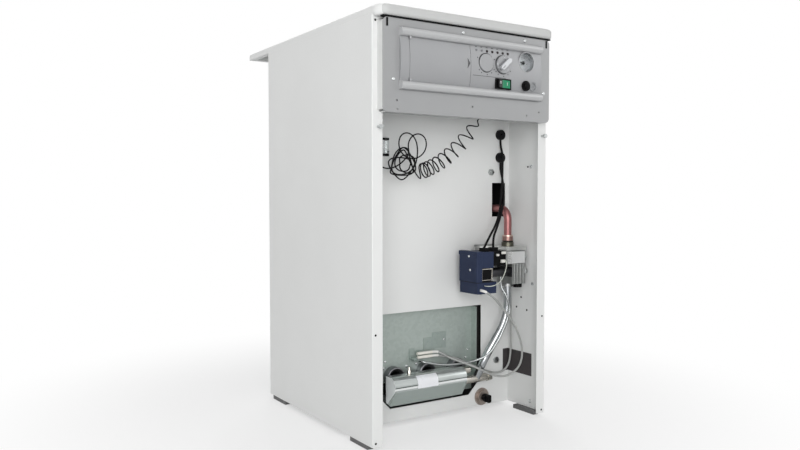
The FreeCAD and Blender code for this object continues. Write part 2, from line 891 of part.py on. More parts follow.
def console_flap():
    flap = new_body("console_flap")
    low = f"{RECESS_LOW} + flap_end_gap"
    high = f"{RECESS_HIGH} - flap_end_gap"
    outer = "-fascia_proud - face_proud"
    pad(flap, outline(flap, "YZ_Plane", [
        (outer, low, CROWN_Y, CONSOLE_MIDDLE),
        (outer, high),
        (f"{outer} + flap_skin", high, f"{CROWN_Y} + flap_skin", CONSOLE_MIDDLE),
        (f"{outer} + flap_skin", low),
    ], "-flap_left"), "flap_width")
    pivot = ("-flap_left + hinge_setback", f"{CROWN_Y} + hinge_sink")
    for level, downwards in ((low, False), (high, True)):
        pad(flap, circles(flap, "XY_Plane", [(*pivot, "ear_radius")], level), "ear_height", reverse=downwards)
        web = rectangle(flap, "XY_Plane", ("-flap_left", "-flap_left + hinge_setback + ear_radius"),
                        (pivot[1], f"{outer} + flap_skin/2"), level)
        pad(flap, web, "ear_height", reverse=downwards)
        pin = circles(flap, "XY_Plane", [(*pivot, "hinge_radius")], level)
        pad(flap, pin, "flap_end_gap + hinge_reach", reverse=not downwards)
    right = "-flap_left + flap_width"
    notch = outline(flap, "XZ_Plane", [
        (f"{right} - notch_width", "notch_height_place - notch_height/2"),
        (f"{right} - 1", "notch_height_place"),
        (f"{right} - notch_width", "notch_height_place + notch_height/2"),
    ], "fascia_proud + rail_proud")
    pocket(flap, notch, "rail_proud + 1")
    return seat(flap, "console_flap")


console_flap()

# Temperature knob: a skirt with a rounded grip bar, on the shaft of the thermostat behind it.


def temperature_knob():
    knob = new_body("temperature_knob")
    pad(knob, circles(knob, "XY_Plane", [("0", "0", "knob_radius")]), "knob_skirt")
    half = "knob_grip_width/2"
    end = "knob_radius - 2 - knob_grip_width/2"
    bar = outline(knob, "XY_Plane", [
        (f"-({end})", f"-{half}"),
        (end, f"-{half}", f"{end} + {half}", "0"),
        (end, half),
        (f"-({end})", half, f"-({end}) - {half}", "0"),
    ], "knob_skirt")
    pad(knob, bar, "knob_grip")
    top = value("knob_skirt + knob_grip")
    skirt = value("knob_skirt")

    def rim(edge):
        box = edge.BoundBox
        crest = box.ZMin > top - 1e-3
        lip = abs(box.ZMin - skirt) + abs(box.ZMax - skirt) < 1e-3 and box.XLength > value("knob_radius")
        return crest or (lip and box.YLength > value("knob_radius"))

    soften(knob, "knob_round", rim)
    shaft = circles(knob, "XY_Plane", [("0", "0", "shaft_radius")])
    pad(knob, shaft, "knob_gap + face_crown + face_proud + console_depth + 4", reverse=True)
    face_front(knob, value("knob_angle"))
    return seat(knob, "temperature_knob", "knob_x", f"{CROWN_Y} - knob_gap", "knob_z")


temperature_knob()

# Control thermostat: the body behind the knob, bored for its shaft.

console_rear = f"({FASCIA_Y} + console_depth)"
thermostat = block(("knob_x - 20", "knob_x + 20"), (console_rear, f"{console_rear} + 32"), ("knob_z - 18", "knob_z + 18"))
thermostat_bore = rod("shaft_radius + shaft_clearance", "y", (f"{console_rear} - 1", f"{console_rear} + 6"),
                      ("knob_x", "knob_z"))
seat(cut(thermostat, thermostat_bore), "control_thermostat")

# Blanking disc: fills the place of a second knob.

blank = turned("blanking_disc", [
    ("0", "0"),
    ("blank_neck", "0"),
    ("blank_neck", "face_crown + face_proud + 4"),
    ("blank_radius", "face_crown + face_proud + 4"),
    ("blank_radius", "face_crown + face_proud + 4 + blank_height - 0.8"),
    ("blank_radius - 0.8", "face_crown + face_proud + 4 + blank_height"),
    ("0", "face_crown + face_proud + 4 + blank_height"),
])
seat(face_front(blank), "blanking_disc", "blank_x", f"{FASCIA_Y} + 4", "knob_z")

# Gauge: a deep case with a step for its glass, a dial on its floor and a needle on a pivot.

GAUGE_FRONT = f"({CROWN_Y} - 0.6)"
gauge_depth = "(gauge_recess + gauge_floor + glass_drop)"
gauge = turned("gauge_case", [
    ("needle_pivot + shaft_clearance", "0"),
    ("gauge_radius", "0"),
    ("gauge_radius", gauge_depth),
    ("gauge_radius - gauge_wall/2", gauge_depth),
    ("gauge_radius - gauge_wall/2", f"{gauge_depth} - glass_drop - glass_thickness"),
    ("gauge_radius - gauge_wall", f"{gauge_depth} - glass_drop - glass_thickness"),
    ("gauge_radius - gauge_wall", "gauge_floor"),
    ("needle_pivot + shaft_clearance", "gauge_floor"),
])
seat(face_front(gauge), "gauge_case", "gauge_x", f"{GAUGE_FRONT} + {gauge_depth}", "gauge_z")
glass_front = f"({GAUGE_FRONT} + glass_drop)"
seat(rod("gauge_radius - gauge_wall/2 - 0.1", "y", (glass_front, f"{glass_front} + glass_thickness"),
         ("gauge_x", "gauge_z")), "gauge_glass", "gauge_x", glass_front, "gauge_z")


def gauge_needle():
    needle = new_body("gauge_needle")
    pad(needle, circles(needle, "XY_Plane", [("0", "0", "needle_hub")]), "2*needle_thickness")
    pad(needle, outline(needle, "XY_Plane", [
        ("-needle_length", "-needle_width/6"),
        ("needle_length/3", "-needle_width/2"),
        ("needle_length/3", "needle_width/2"),
        ("-needle_length", "needle_width/6"),
    ]), "needle_thickness")
    pad(needle, circles(needle, "XY_Plane", [("0", "0", "needle_pivot")]), "needle_lift + gauge_floor", reverse=True)
    face_front(needle, -12)
    dial = f"{GAUGE_FRONT} + {gauge_depth} - gauge_floor"
    return seat(needle, "gauge_needle", "gauge_x", f"{dial} - needle_lift", "gauge_z")


gauge_needle()

# Power switch: a housing with a bezel, and a rocker on a cross pin, pressed in at its right.

switch_inner = "(switch_width/2 - switch_bezel)"
bezel = block(("switch_x - switch_width/2", "switch_x + switch_width/2"),
              (SWITCH_FRONT, f"{SWITCH_FRONT} + switch_bezel"),
              ("switch_z - switch_height/2", "switch_z + switch_height/2"))
switch_body = block((f"switch_x - {switch_inner}", f"switch_x + {switch_inner}"),
                    (f"{SWITCH_FRONT} + switch_bezel", f"{SWITCH_FRONT} + switch_depth"),
                    ("switch_z - switch_height/2 + switch_bezel/2", "switch_z + switch_height/2 - switch_bezel/2"))
switch_well = block(("switch_x - rocker_width/2 - rocker_gap", "switch_x + rocker_width/2 + rocker_gap"),
                    (f"{SWITCH_FRONT} - 1", f"{SWITCH_FRONT} + switch_depth/2 + 3"),
                    ("switch_z - rocker_height/2 - rocker_gap", "switch_z + rocker_height/2 + rocker_gap"))
PIVOT_Y = f"({SWITCH_FRONT} + 5)"
switch_pin = rod("rocker_pin + shaft_clearance", "z", ("switch_z - rocker_height/2 - 1", "switch_z + rocker_height/2 + 1"),
                 ("switch_x", PIVOT_Y))
seat(cut(join(bezel, switch_body), switch_well, switch_pin), "switch_housing")


def switch_rocker():
    rocker = new_body("switch_rocker")
    half = "(rocker_width/2 - 1.2)"
    pad(rocker, outline(rocker, "XY_Plane", [
        (f"-{half}", "-5 - rocker_rise"),
        ("0", "-5 - rocker_rise/4"),
        (half, "-5 - rocker_rise"),
        (half, "-1"),
        ("rocker_width/5", "rocker_width/7"),
        ("-rocker_width/5", "rocker_width/7"),
        (f"-{half}", "-1"),
    ]), "rocker_height", both=True)
    pin = circles(rocker, "XY_Plane", [("0", "0", "rocker_pin")])
    pad(rocker, pin, "rocker_height + 1.6", both=True)
    rocker.Placement = FreeCAD.Placement(Vector(), FreeCAD.Rotation(Vector(0, 0, 1), value("rocker_tilt")))
    return seat(rocker, "switch_rocker", "switch_x", PIVOT_Y, "switch_z")


switch_rocker()

# Safety thermostat with its threaded collar, and the reset button that slides in it.

collar = rod("reset_collar", "y", (RESET_FRONT, f"{RESET_FRONT} + collar_height"), ("reset_x", "reset_z"))
barrel = rod("reset_collar - 2", "y", (f"{RESET_FRONT} + collar_height", console_rear), ("reset_x", "reset_z"))
safety_box = block(("reset_x - 15", "reset_x + 12"), (console_rear, f"{console_rear} + 30"), ("reset_z - 14", "reset_z + 14"))
safety_well = rod("reset_radius + reset_gap", "y", (f"{RESET_FRONT} - 1", f"{console_rear} - 2"), ("reset_x", "reset_z"))
seat(cut(join(collar, barrel, safety_box), safety_well), "safety_thermostat")

button_length = "(reset_proud + 9)"
button = turned("reset_button", [
    ("0", "0"),
    ("reset_radius", "0"),
    ("reset_radius", f"{button_length} - 2.5"),
    ("0.8*reset_radius", f"{button_length} - 0.6"),
    ("0.5*reset_radius", button_length),
    ("0", button_length),
])
seat(face_front(button), "reset_button", "reset_x", f"{RESET_FRONT} - reset_proud + {button_length}", "reset_z")

# Fuse holder: a round well with a slotted cap sunk in it.

fuse_length = "(fuse_recess + 20)"
fuse = turned("fuse_holder", [
    ("0", "0"),
    ("fuse_radius", "0"),
    ("fuse_radius", fuse_length),
    ("fuse_radius - fuse_wall", fuse_length),
    ("fuse_radius - fuse_wall - 1", f"{fuse_length} - fuse_recess"),
    ("0", f"{fuse_length} - fuse_recess"),
])
fuse_slot = rectangle(fuse, "XY_Plane", ("-fuse_radius/2", "fuse_radius/2"), ("-0.8", "0.8"),
                      f"{fuse_length} - fuse_recess")
pocket(fuse, fuse_slot, "1.5")
seat(face_front(fuse), "fuse_holder", "fuse_x", f"{SWITCH_FRONT} + 2 + {fuse_length}", "reset_z")

# Indicator lamps: a row of domed lenses let into the console face.

lamps = []
lamp_face = "(-fascia_proud - face_proud - 0.4*face_crown)"
for number in range(INDICATOR_LAMPS):
    lamps.append(rod("lamp_radius", "y", (f"{lamp_face} - lamp_proud", f"{lamp_face} + 6"),
                     (f"lamp_x + {number}*lamp_pitch", "lamp_z")))
seat(group(*lamps), "indicator_lamps")

# Heat exchanger: two end sections with legs to the tray and two middle sections, joined by nipples.

TIE_PLACES = [(y, z) for y in (f"{SECTION_Y} + 30", f"{SECTION_BACK} - 90")
              for z in ("chamber_top + 40", "section_top - 40")]


def end_section(label, side):
    section = new_body(label)
    outer = f"{side}*{BLOCK_HALF}"
    inner = f"{side}*({BLOCK_HALF} - section_width)"
    leg = f"{side}*({BLOCK_HALF} - leg_width)"
    pad(section, outline(section, "XZ_Plane", [
        (outer, "base_sheet"),
        (outer, "section_top"),
        (inner, "section_top"),
        (inner, "chamber_top"),
        (leg, "chamber_top"),
        (leg, "base_sheet"),
    ], f"-{SECTION_Y}"), "section_depth", reverse=True)
    ties = circles(section, "YZ_Plane", [(y, z, "tie_radius + tie_gap") for y, z in TIE_PLACES])
    pocket(section, ties, "2*cabinet_width", both=True)
    return section


def middle_section(number):
    section = new_body(f"middle_section_{number}")
    start = f"{number - 1.5}*section_pitch - section_width/2"
    pad(section, outline(section, "YZ_Plane", [
        (SECTION_Y, "chamber_top"),
        (f"{SECTION_BACK} - rear_leg", "chamber_top"),
        (f"{SECTION_BACK} - rear_leg", "base_sheet"),
        (SECTION_BACK, "base_sheet"),
        (SECTION_BACK, "section_top"),
        (SECTION_Y, "section_top"),
    ], start), "section_width")
    ties = circles(section, "YZ_Plane", [(y, z, "tie_radius + tie_gap") for y, z in TIE_PLACES])
    pocket(section, ties, "2*cabinet_width", both=True)
    return section


seat(group(
    end_section("left_section", "-1"),
    middle_section(1),
    middle_section(2),
    end_section("right_section", "1"),
), "cast_sections")

nipples = []
for number in range(3):
    start = f"{number - 1.5}*section_pitch + section_width/2"
    for z in ("section_top - nipple_inset", "chamber_top + nipple_inset"):
        place = (f"{SECTION_BACK} - nipple_inset", z)
        span = (start, f"{start} + section_pitch - section_width")
        nipples.append(cut(rod("nipple_radius", "x", span, place), rod("nipple_bore", "x", span, place)))
ties = []
for place in TIE_PLACES:
    shank = rod("tie_radius", "x", (f"-{BLOCK_HALF} - tie_overhang", f"{BLOCK_HALF} + tie_overhang"), place)
    nuts = [hexagon("2*tie_radius", "x", span, place) for span in (
        (f"-{BLOCK_HALF} - tie_overhang", f"-{BLOCK_HALF}"), (BLOCK_HALF, f"{BLOCK_HALF} + tie_overhang"))]
    ties.append(join(shank, *nuts))
seat(group(*nipples, *ties), "section_fixings")

jacket = block((f"-{BLOCK_HALF} - jacket_wall", f"{BLOCK_HALF} + jacket_wall"),
               (f"{SECTION_Y} - jacket_front", f"{SECTION_BACK} + jacket_rear"), ("jacket_bottom", "section_top"))
jacket_room = block((f"-{BLOCK_HALF}", BLOCK_HALF), (SECTION_Y, SECTION_BACK), ("jacket_bottom - 1", "section_top + 1"))
nut_rooms = [block((f"-{BLOCK_HALF} - tie_overhang - 0.5", f"{BLOCK_HALF} + tie_overhang + 0.5"),
                   (f"{y} - 2.4*tie_radius", f"{y} + 2.4*tie_radius"), (f"{z} - 2.4*tie_radius", f"{z} + 2.4*tie_radius"))
             for y, z in TIE_PLACES]
water_ways = [rod("water_radius + pipe_gap", "y", (f"{SECTION_BACK} - 1", f"{SECTION_BACK} + jacket_rear + 1"),
                  ("water_x", z)) for z in ("flow_height", "return_height")]
seat(cut(jacket, jacket_room, *nut_rooms, *water_ways), "insulation_jacket")

# Flue collector: gathers the burnt gas above the sections and leads it back to the draught hood.

hood_front = "(panel_depth - panel_sheet)"
collector_top = "(section_top + collector_height)"
collector = join(
    block((f"-{BLOCK_HALF}", BLOCK_HALF), (SECTION_Y, SECTION_BACK), ("section_top", collector_top)),
    block(("-duct_width/2", "duct_width/2"), (f"{SECTION_BACK} - 1", "duct_end"), ("duct_bottom", "duct_bottom + duct_height")))
collector_room = join(
    block((f"-{BLOCK_HALF} + collector_sheet", f"{BLOCK_HALF} - collector_sheet"),
          (f"{SECTION_Y} + collector_sheet", f"{SECTION_BACK} - collector_sheet"),
          ("section_top - 1", f"{collector_top} - collector_sheet")),
    block(("-duct_width/2 + collector_sheet", "duct_width/2 - collector_sheet"), (f"{SECTION_BACK} - 10", "duct_end + 1"),
          ("duct_bottom + collector_sheet", "duct_bottom + duct_height - collector_sheet")))
seat(cut(collector, collector_room), "flue_collector")

# Draught hood: hangs on the back panel, open below, with the flue spigot on its rear wall.

hood_back = f"({hood_front} + hood_depth)"
hood = block(("-hood_width/2", "hood_width/2"), (hood_front, hood_back), ("hood_bottom", "hood_top"))
hood_room = block(("-hood_width/2 + hood_sheet", "hood_width/2 - hood_sheet"),
                  (f"{hood_front} + hood_sheet", f"{hood_back} - hood_sheet"), ("hood_bottom - 1", "hood_top - hood_sheet"))
hood_inlet = block(("-duct_width/2 - pipe_gap", "duct_width/2 + pipe_gap"), (f"{hood_front} - 1", f"{hood_front} + 3"),
                   ("duct_bottom - pipe_gap", "duct_bottom + duct_height + pipe_gap"))
hood_outlet = rod("flue_radius + pipe_gap", "y", (f"{hood_back} - 5", f"{hood_back} + 5"), ("0", "flue_height"))
seat(cut(hood, hood_room, hood_inlet, hood_outlet), "draught_hood")

flue_end = "(panel_depth + flue_reach)"
flue_place = ("0", "flue_height")
spigot = join(rod("flue_radius", "y", (hood_back, flue_end), flue_place),
              rod("flue_flange", "y", (hood_back, f"{hood_back} + flue_wall"), flue_place))
spigot_bore = rod("flue_radius - flue_wall", "y", (f"{hood_back} - 5", f"{flue_end} + 1"), flue_place)
seat(cut(spigot, spigot_bore), "flue_spigot")

# Water pipes: flow and return, screwed into the right end section and led out through the back to
# threaded ends.

water_end = "(panel_depth + pipe_reach)"
water_shoulder = f"({water_end} - water_thread_length)"
water_pipes = []
for z in ("flow_height", "return_height"):
    place = ("water_x", z)
    pipe = join(rod("water_radius", "y", (SECTION_BACK, water_shoulder), place),
                rod("water_thread", "y", (water_shoulder, water_end), place))
    bore = rod("water_radius - water_wall", "y", (f"{SECTION_BACK} + 10", f"{water_end} + 1"), place)
    water_pipes.append(cut(pipe, bore))
seat(group(*water_pipes), "water_pipes")

# Burner shield: the galvanised plate in the opening, with forward lips and holes for the burners.

BURNER_X = [f"(burner_shift + {number - (BURNER_BARS - 1)/2}*burner_pitch)" for number in range(BURNER_BARS)]


def burner_shield():
    shield = new_body("burner_shield")
    plate = rectangle(shield, "XZ_Plane", ("-shield_half", "shield_half"), ("shield_bottom", "shield_top"), f"-{SHIELD_Y}")
    pad(shield, plate, "shield_sheet", reverse=True)
    for side in ("-1", "1"):
        lip = rectangle(shield, "XZ_Plane", (f"{side}*(shield_half - shield_sheet)", f"{side}*shield_half"),
                        ("shield_lip_bottom", "shield_lip_top"), f"-{SHIELD_Y}")
        pad(shield, lip, "shield_recess - shield_lip_gap")
    holes = circles(shield, "XZ_Plane", [(x, "burner_height", "burner_radius + burner_fit") for x in BURNER_X], f"-{SHIELD_Y}")
    pocket(shield, holes, "4*shield_sheet", both=True)
    return seat(shield, "burner_shield")


burner_shield()


def inspection_plate():
    plate = new_body("inspection_plate")
    pad(plate, outline(plate, "XZ_Plane", [
        ("-6", "147"),
        ("57", "145"),
        ("57", "183"),
        ("18", "183"),
        ("18", "173"),
        ("-6", "173"),
    ], f"-{SHIELD_Y}"), "shield_sheet")
    return seat(plate, "inspection_plate")


inspection_plate()

# Burner bars: tubes with a flared mouth at the front, gas ports along the top and a closed rear end.

BAR_END = f"({SECTION_BACK} - rear_leg - burner_fit)"


def burner_bar(x):
    length = f"{BAR_END} - {SHIELD_Y}"
    bar = turned("burner_bar", [
        ("mouth_bore", "-mouth_reach + 4"),
        ("mouth_radius - 3", "-mouth_reach", "mouth_radius - 0.9", "-mouth_reach + 0.9"),
        ("mouth_radius", "-mouth_reach + 3"),
        ("mouth_radius", "0"),
        ("burner_radius", "0"),
        ("burner_radius", length),
        ("0", length),
        ("0", f"{length} - 2"),
        ("burner_radius - burner_wall", f"{length} - 2"),
        ("burner_radius - burner_wall", "60"),
        ("mouth_bore - 3", "20"),
    ])
    ports = rectangle(bar, "XZ_Plane", ("-burner_radius", "0"), ("70", "70 + port_width"))
    slot = pocket(bar, ports, "port_length", both=True)
    pattern = bar.newObject("PartDesign::LinearPattern", "Ports")
    pattern.Originals = [slot]
    pattern.Direction = (ports, ["V_Axis"])
    pattern.Occurrences = BURNER_PORTS
    tie(pattern, {"Length": f"port_pitch*{BURNER_PORTS - 1}"})
    bar.Tip = pattern
    upwards = FreeCAD.Rotation(Vector(1, 0, 0), -90).multiply(FreeCAD.Rotation(Vector(0, 0, 1), 90))
    bar.Placement = FreeCAD.Placement(Vector(), upwards)
    move(bar, x, SHIELD_Y, "burner_height")
    return bar


seat(group(*[burner_bar(x) for x in BURNER_X]), "burner_bars")

# Gas manifold: a tube with an injector before each burner mouth, and a cross piece below it that takes
# gas from the supply pipe and has a plug at its right end.

GUARD_INNER = "(-guard_left + guard_sheet)"
feed_place = ("manifold_depth", "feed_height")
injector_span = ("manifold_depth", f"{SHIELD_Y} - mouth_reach - injector_gap")
seat(join(
    rod("manifold_radius", "x", (GUARD_INNER, "manifold_right"), ("manifold_depth", "burner_height")),
    *[rod("injector_radius", "y", injector_span, (x, "burner_height")) for x in BURNER_X],
    rod("feed_riser", "z", ("feed_height", "burner_height"), ("feed_riser_x", "manifold_depth")),
    rod("feed_radius", "x", ("feed_riser_x - feed_riser - 2", "feed_right"), feed_place),
    hexagon("feed_plug", "x", ("feed_right - feed_plug_length", "feed_right"), feed_place),
), "gas_manifold")

# Manifold guard: a bent galvanised trough with a rounded nose and a closed left end.


def manifold_guard():
    guard = new_body("manifold_guard")
    nose_y = "(guard_nose + 0.293*guard_round)"
    nose_z = "(guard_top - 0.293*guard_round)"
    tail = f"{SHIELD_Y}"

    def floor_at(y):
        return f"guard_bottom + guard_slope*({y} - guard_toe)"

    pad(guard, outline(guard, "YZ_Plane", [
        ("guard_rear", "guard_top"),
        ("guard_nose + guard_round", "guard_top", nose_y, nose_z),
        ("guard_nose", "guard_top - guard_round"),
        ("guard_nose", "guard_chin"),
        ("guard_toe", "guard_bottom"),
        (tail, floor_at(tail)),
        (tail, f"{floor_at(tail)} + guard_sheet"),
        ("guard_rear", f"{floor_at('guard_rear')} + guard_sheet"),
    ], "-guard_left"), "guard_left + guard_right")
    pocket(guard, outline(guard, "YZ_Plane", [
        ("guard_rear + 1", "guard_top - guard_sheet"),
        ("guard_nose + guard_round", "guard_top - guard_sheet", f"{nose_y} + 0.707*guard_sheet", f"{nose_z} - 0.707*guard_sheet"),
        ("guard_nose + guard_sheet", "guard_top - guard_round"),
        ("guard_nose + guard_sheet", "guard_chin + guard_sheet/2"),
        ("guard_toe + guard_sheet/2", f"{floor_at('guard_toe + guard_sheet/2')} + guard_sheet"),
        ("guard_rear + 1", f"{floor_at('guard_rear + 1')} + guard_sheet"),
    ], "guard_right"), "guard_left + guard_right - guard_sheet")
    return seat(guard, "manifold_guard")


manifold_guard()

# Pilot burner bracket and the two ceramic electrodes that lie on it.

pilot_front = f"({SHIELD_Y} - pilot_plate)"
electrode_y = f"({pilot_front} - electrode_standoff)"
pilot_back = block(("pilot_left", "pilot_left + 14"), (pilot_front, SHIELD_Y), ("pilot_bottom", "pilot_top"))
pilot_arm = block(("pilot_left", "-8"), (pilot_front, SHIELD_Y), ("pilot_bottom + 2", "147 - 1"))
pilot_clip = block(("-22", "-12"), (f"{electrode_y} + electrode_radius", pilot_front), ("pilot_bottom + 4", "146"))
pilot_jet = rod("4.5", "y", (f"{pilot_front} - 16", pilot_front), ("pilot_left + 7", "pilot_bottom + 8"))
seat(join(pilot_back, pilot_arm, pilot_clip, pilot_jet), "pilot_burner")
seat(group(*[rod("electrode_radius", "x", ("electrode_left", "electrode_right"), (electrode_y, z))
             for z in ("electrode_height", "electrode_height - electrode_drop")]), "electrodes")

# Gas valve: a cast block under a top plate, ribbed in front, with the plate that carries the controller.

valve_left = "(valve_x - valve_width/2)"
valve_right = "(valve_x + valve_width/2)"
valve_back = "(valve_y + valve_depth/2)"
valve_parts = [
    block((valve_left, f"{valve_right} + 2"), (f"{VALVE_FRONT} - 2", valve_back), ("valve_top - valve_plate", "valve_top")),
    block(("bracket_left", valve_left), (CONTROLLER_BACK, f"{CONTROLLER_BACK} + bracket_sheet"), ("tray_top", "bracket_top")),
    block((valve_left, valve_right), (VALVE_FRONT, valve_back), ("valve_shoulder", "valve_top - valve_plate")),
    block(("valve_foot_left", "valve_foot_right"), (f"{VALVE_FRONT} + 2", valve_back), ("valve_foot", "valve_shoulder")),
    rod("neck_radius", "x", ("tower_right + coil_gap", "valve_foot_left + 2"), (f"{VALVE_FRONT} + 24", "neck_height")),
    rod("supply_radius + 4", "z", ("valve_foot - 7", "valve_foot"), ("valve_x", "valve_y")),
]
for rib in range(4):
    rib_x = f"valve_foot_left + 6 + {rib}*9"
    valve_parts.append(block((rib_x, f"{rib_x} + 3"), (VALVE_FRONT, f"{VALVE_FRONT} + 3"), ("valve_foot", "valve_shoulder")))
outlet_bore = rod("supply_radius + supply_gap", "z", ("valve_foot - 8", "valve_foot - 1"), ("valve_x", "valve_y"))
seat(cut(join(*valve_parts), outlet_bore), "gas_valve_body")

seat(rod("cap_radius", "z", ("valve_foot - cap_height", "valve_foot"), ("cap_x", "cap_y")), "regulator_cap",
     "cap_x", "cap_y", "valve_foot - cap_height")

# Ignition controller: a navy moulding with a lid, a low tower beside it and a tray under the coil.


def ignition_controller():
    shell = new_body("ignition_controller")
    depth = "-controller_front"

    def slab(x, z, setback, length):
        return pad(shell, rectangle(shell, "XZ_Plane", x, z, f"{depth} - ({setback})"), length, reverse=True)

    lid = "controller_top - controller_lid"
    slab(("controller_left + controller_lid_lip", "controller_right"), ("controller_bottom", "tray_top"), "0",
         "controller_depth")
    slab(("controller_left", "controller_right"), ("tray_top", lid), "0", "controller_depth")
    slab(("controller_left - controller_lid_lip", "controller_right"), (lid, "controller_top"),
         "-controller_lid_lip", "controller_depth + controller_lid_lip")
    slab(("controller_right", "tower_right"), ("tower_bottom", "tower_top"), "tray_setback", "controller_depth - tray_setback")
    slab(("controller_right", "tray_right"), ("controller_bottom", "tray_top"), "tray_setback", "controller_depth - tray_setback")
    slab(("controller_right", "coil_left - coil_gap"), ("tray_top", "tower_bottom"), "2*tray_setback",
         "controller_depth - 2*tray_setback")
    left = value("controller_left")
    front = value("controller_front")

    def front_corner(edge):
        box = edge.BoundBox
        upright = box.XLength + box.YLength < 1e-4
        return upright and abs(box.XMin - left) + abs(box.YMin - front) < 1e-3

    soften(shell, "controller_round", front_corner)
    return seat(shell, "ignition_controller")


ignition_controller()

# Valve coils: two black solenoids, one in the controller's notch and one above the neck.

coil_front = "(controller_front + coil_setback)"
lower_coil = block(("coil_left", "tower_right"), (coil_front, CONTROLLER_BACK), ("tray_top + coil_gap", "tower_bottom - coil_gap"))
upper_coil = block(("tower_right + coil_gap", f"{valve_left} - coil_gap"), (VALVE_FRONT, CONTROLLER_BACK),
                   ("tower_bottom + 2", "tower_top"))
seat(group(lower_coil, upper_coil), "valve_coils")

# Cable plugs: where the two black cables end on the controller's tower and on the upper coil.

PLUG_PLACES = [("100", "60"), ("132", "66")]
plugs = []
for x, y in PLUG_PLACES:
    plugs.append(block((f"{x} - plug_half", f"{x} + plug_half"), (f"{y} - plug_half", f"{y} + plug_half"),
                       ("tower_top", "tower_top + plug_height")))
seat(group(*plugs), "cable_plugs")

# Gas inlet: a copper pipe from a threaded end behind the boiler, through the bulkhead slot and bent
# down into the valve.

bend_y = "(valve_y + inlet_bend)"
bend_z = "(inlet_height - inlet_bend)"
union_top = "(valve_top + union_flange_height)"


def inlet_elbow():
    elbow = doc.addObject("Part::Torus", "Elbow")
    quarter = FreeCAD.Rotation(Vector(0, -1, 0), Vector(0, 0, 1), Vector(-1, 0, 0))
    elbow.Placement = FreeCAD.Placement(Vector(), quarter)
    elbow.Angle3 = 90
    tie(elbow, {"Radius1": "inlet_bend", "Radius2": "inlet_radius"})
    move(elbow, "valve_x", bend_y, bend_z)
    return elbow


inlet_end = "(panel_depth + inlet_reach)"
inlet = join(rod("inlet_radius", "z", (union_top, bend_z), ("valve_x", "valve_y")), inlet_elbow(),
             rod("inlet_radius", "y", (bend_y, inlet_end), ("valve_x", "inlet_height")),
             rod("inlet_thread", "y", (f"{inlet_end} - inlet_thread_length", inlet_end), ("valve_x", "inlet_height")))
inlet_bore = rod("inlet_radius - inlet_wall", "y", (f"{inlet_end} - 40", f"{inlet_end} + 1"), ("valve_x", "inlet_height"))
seat(cut(inlet, inlet_bore), "gas_inlet_pipe")

# Inlet union: a round flange, a hexagon nut and a collar that hold the copper pipe on the valve.

union_place = ("valve_x", "valve_y")
nut_top = f"({union_top} + union_nut_height)"
union = join(rod("union_flange", "z", ("valve_top", union_top), union_place),
             hexagon("union_nut", "z", (union_top, nut_top), union_place),
             rod("union_collar", "z", (nut_top, f"{nut_top} + union_collar_height"), union_place))
union_bore = rod("inlet_radius + supply_gap", "z", (union_top, f"{nut_top} + union_collar_height + 1"), union_place)
seat(cut(union, union_bore), "inlet_union")

# Drain cock: its tail screws into the right end section; a flange covers the hole in the bulkhead.

drain_place = ("drain_x", "drain_height")
drain = join(
    rod("drain_body", "y", ("drain_front", "drain_back"), drain_place),
    rod("drain_flange", "y", ("bulkhead_depth - drain_flange_sheet", "bulkhead_depth"), drain_place),
    rod("drain_pipe", "y", ("drain_back", SECTION_Y), drain_place))
stem_bore = rod("drain_stem + shaft_clearance", "y", ("drain_front - 1", "drain_front + drain_stem_length + 1"), drain_place)
seat(cut(drain, stem_bore), "drain_cock")


def drain_knob():
    knob = turned("drain_knob", [
        ("0", "-drain_gap - drain_stem_length"),
        ("drain_stem", "-drain_gap - drain_stem_length"),
        ("drain_stem", "0"),
        ("drain_knob_radius - 1.5", "0"),
        ("drain_knob_radius", "drain_knob_length/4"),
        ("drain_knob_radius", "drain_knob_length - 1.5"),
        ("drain_knob_radius - 1.5", "drain_knob_length"),
        ("0", "drain_knob_length"),
    ])
    flat = "(drain_knob_radius/2)"
    for side in ("-1", "1"):
        cheek = rectangle(knob, "XY_Plane", sorted((f"{side}*{flat}", f"{side}*2*drain_knob_radius"), key=value),
                          ("-2*drain_knob_radius", "2*drain_knob_radius"), "drain_knob_length")
        pocket(knob, cheek, "drain_knob_length/2")
    face_front(knob)
    return seat(knob, "drain_knob", "drain_x", "drain_front - drain_gap", "drain_height")


drain_knob()

# Grommets: rubber rings in the bulkhead, one for each cord that passes it.

GROMMETS = [("grommet_x", "grommet_upper", "cable_radius"), ("grommet_x", "grommet_lower", "cable_radius"),
            ("sensor_grommet_x", "sensor_grommet_z", "sensor_radius")]
grommets = []
for x, z, cord in GROMMETS:
    rings = join(
        rod("grommet_radius", "y", ("bulkhead_depth - grommet_lip", "bulkhead_depth"), (x, z)),
        rod("grommet_neck", "y", ("bulkhead_depth", BULKHEAD_BACK), (x, z)),
        rod("grommet_radius", "y", (BULKHEAD_BACK, f"{BULKHEAD_BACK} + grommet_lip/2"), (x, z)))
    bore = rod(f"{cord} + cord_fit", "y", ("bulkhead_depth - grommet_lip - 1", f"{BULKHEAD_BACK} + grommet_lip"), (x, z))
    grommets.append(cut(rings, bore))
seat(group(*grommets), "grommets")

# Bulkhead nuts, the cord clip and the black liner in the lower right corner.

seat(group(*[
    hexagon("nut_radius", "y", ("bulkhead_depth - nut_height", "bulkhead_depth"), place)
    for place in (("172", "553"), ("190", "104"))
]), "bulkhead_nuts")

clip = block(("clip_left", "clip_right"), ("bulkhead_depth - clip_height", "bulkhead_depth"), ("clip_bottom", "clip_top"))
clip_slots = [block((f"clip_left + {share}*(clip_right - clip_left) - clip_slot/2",
                     f"clip_left + {share}*(clip_right - clip_left) + clip_slot/2"),
                    ("bulkhead_depth - clip_height - 1", "bulkhead_depth - 1.5"), ("clip_bottom + 6", "clip_top - 6"))
              for share in (0.3, 0.7)]
seat(cut(clip, *clip_slots), "cord_clip")

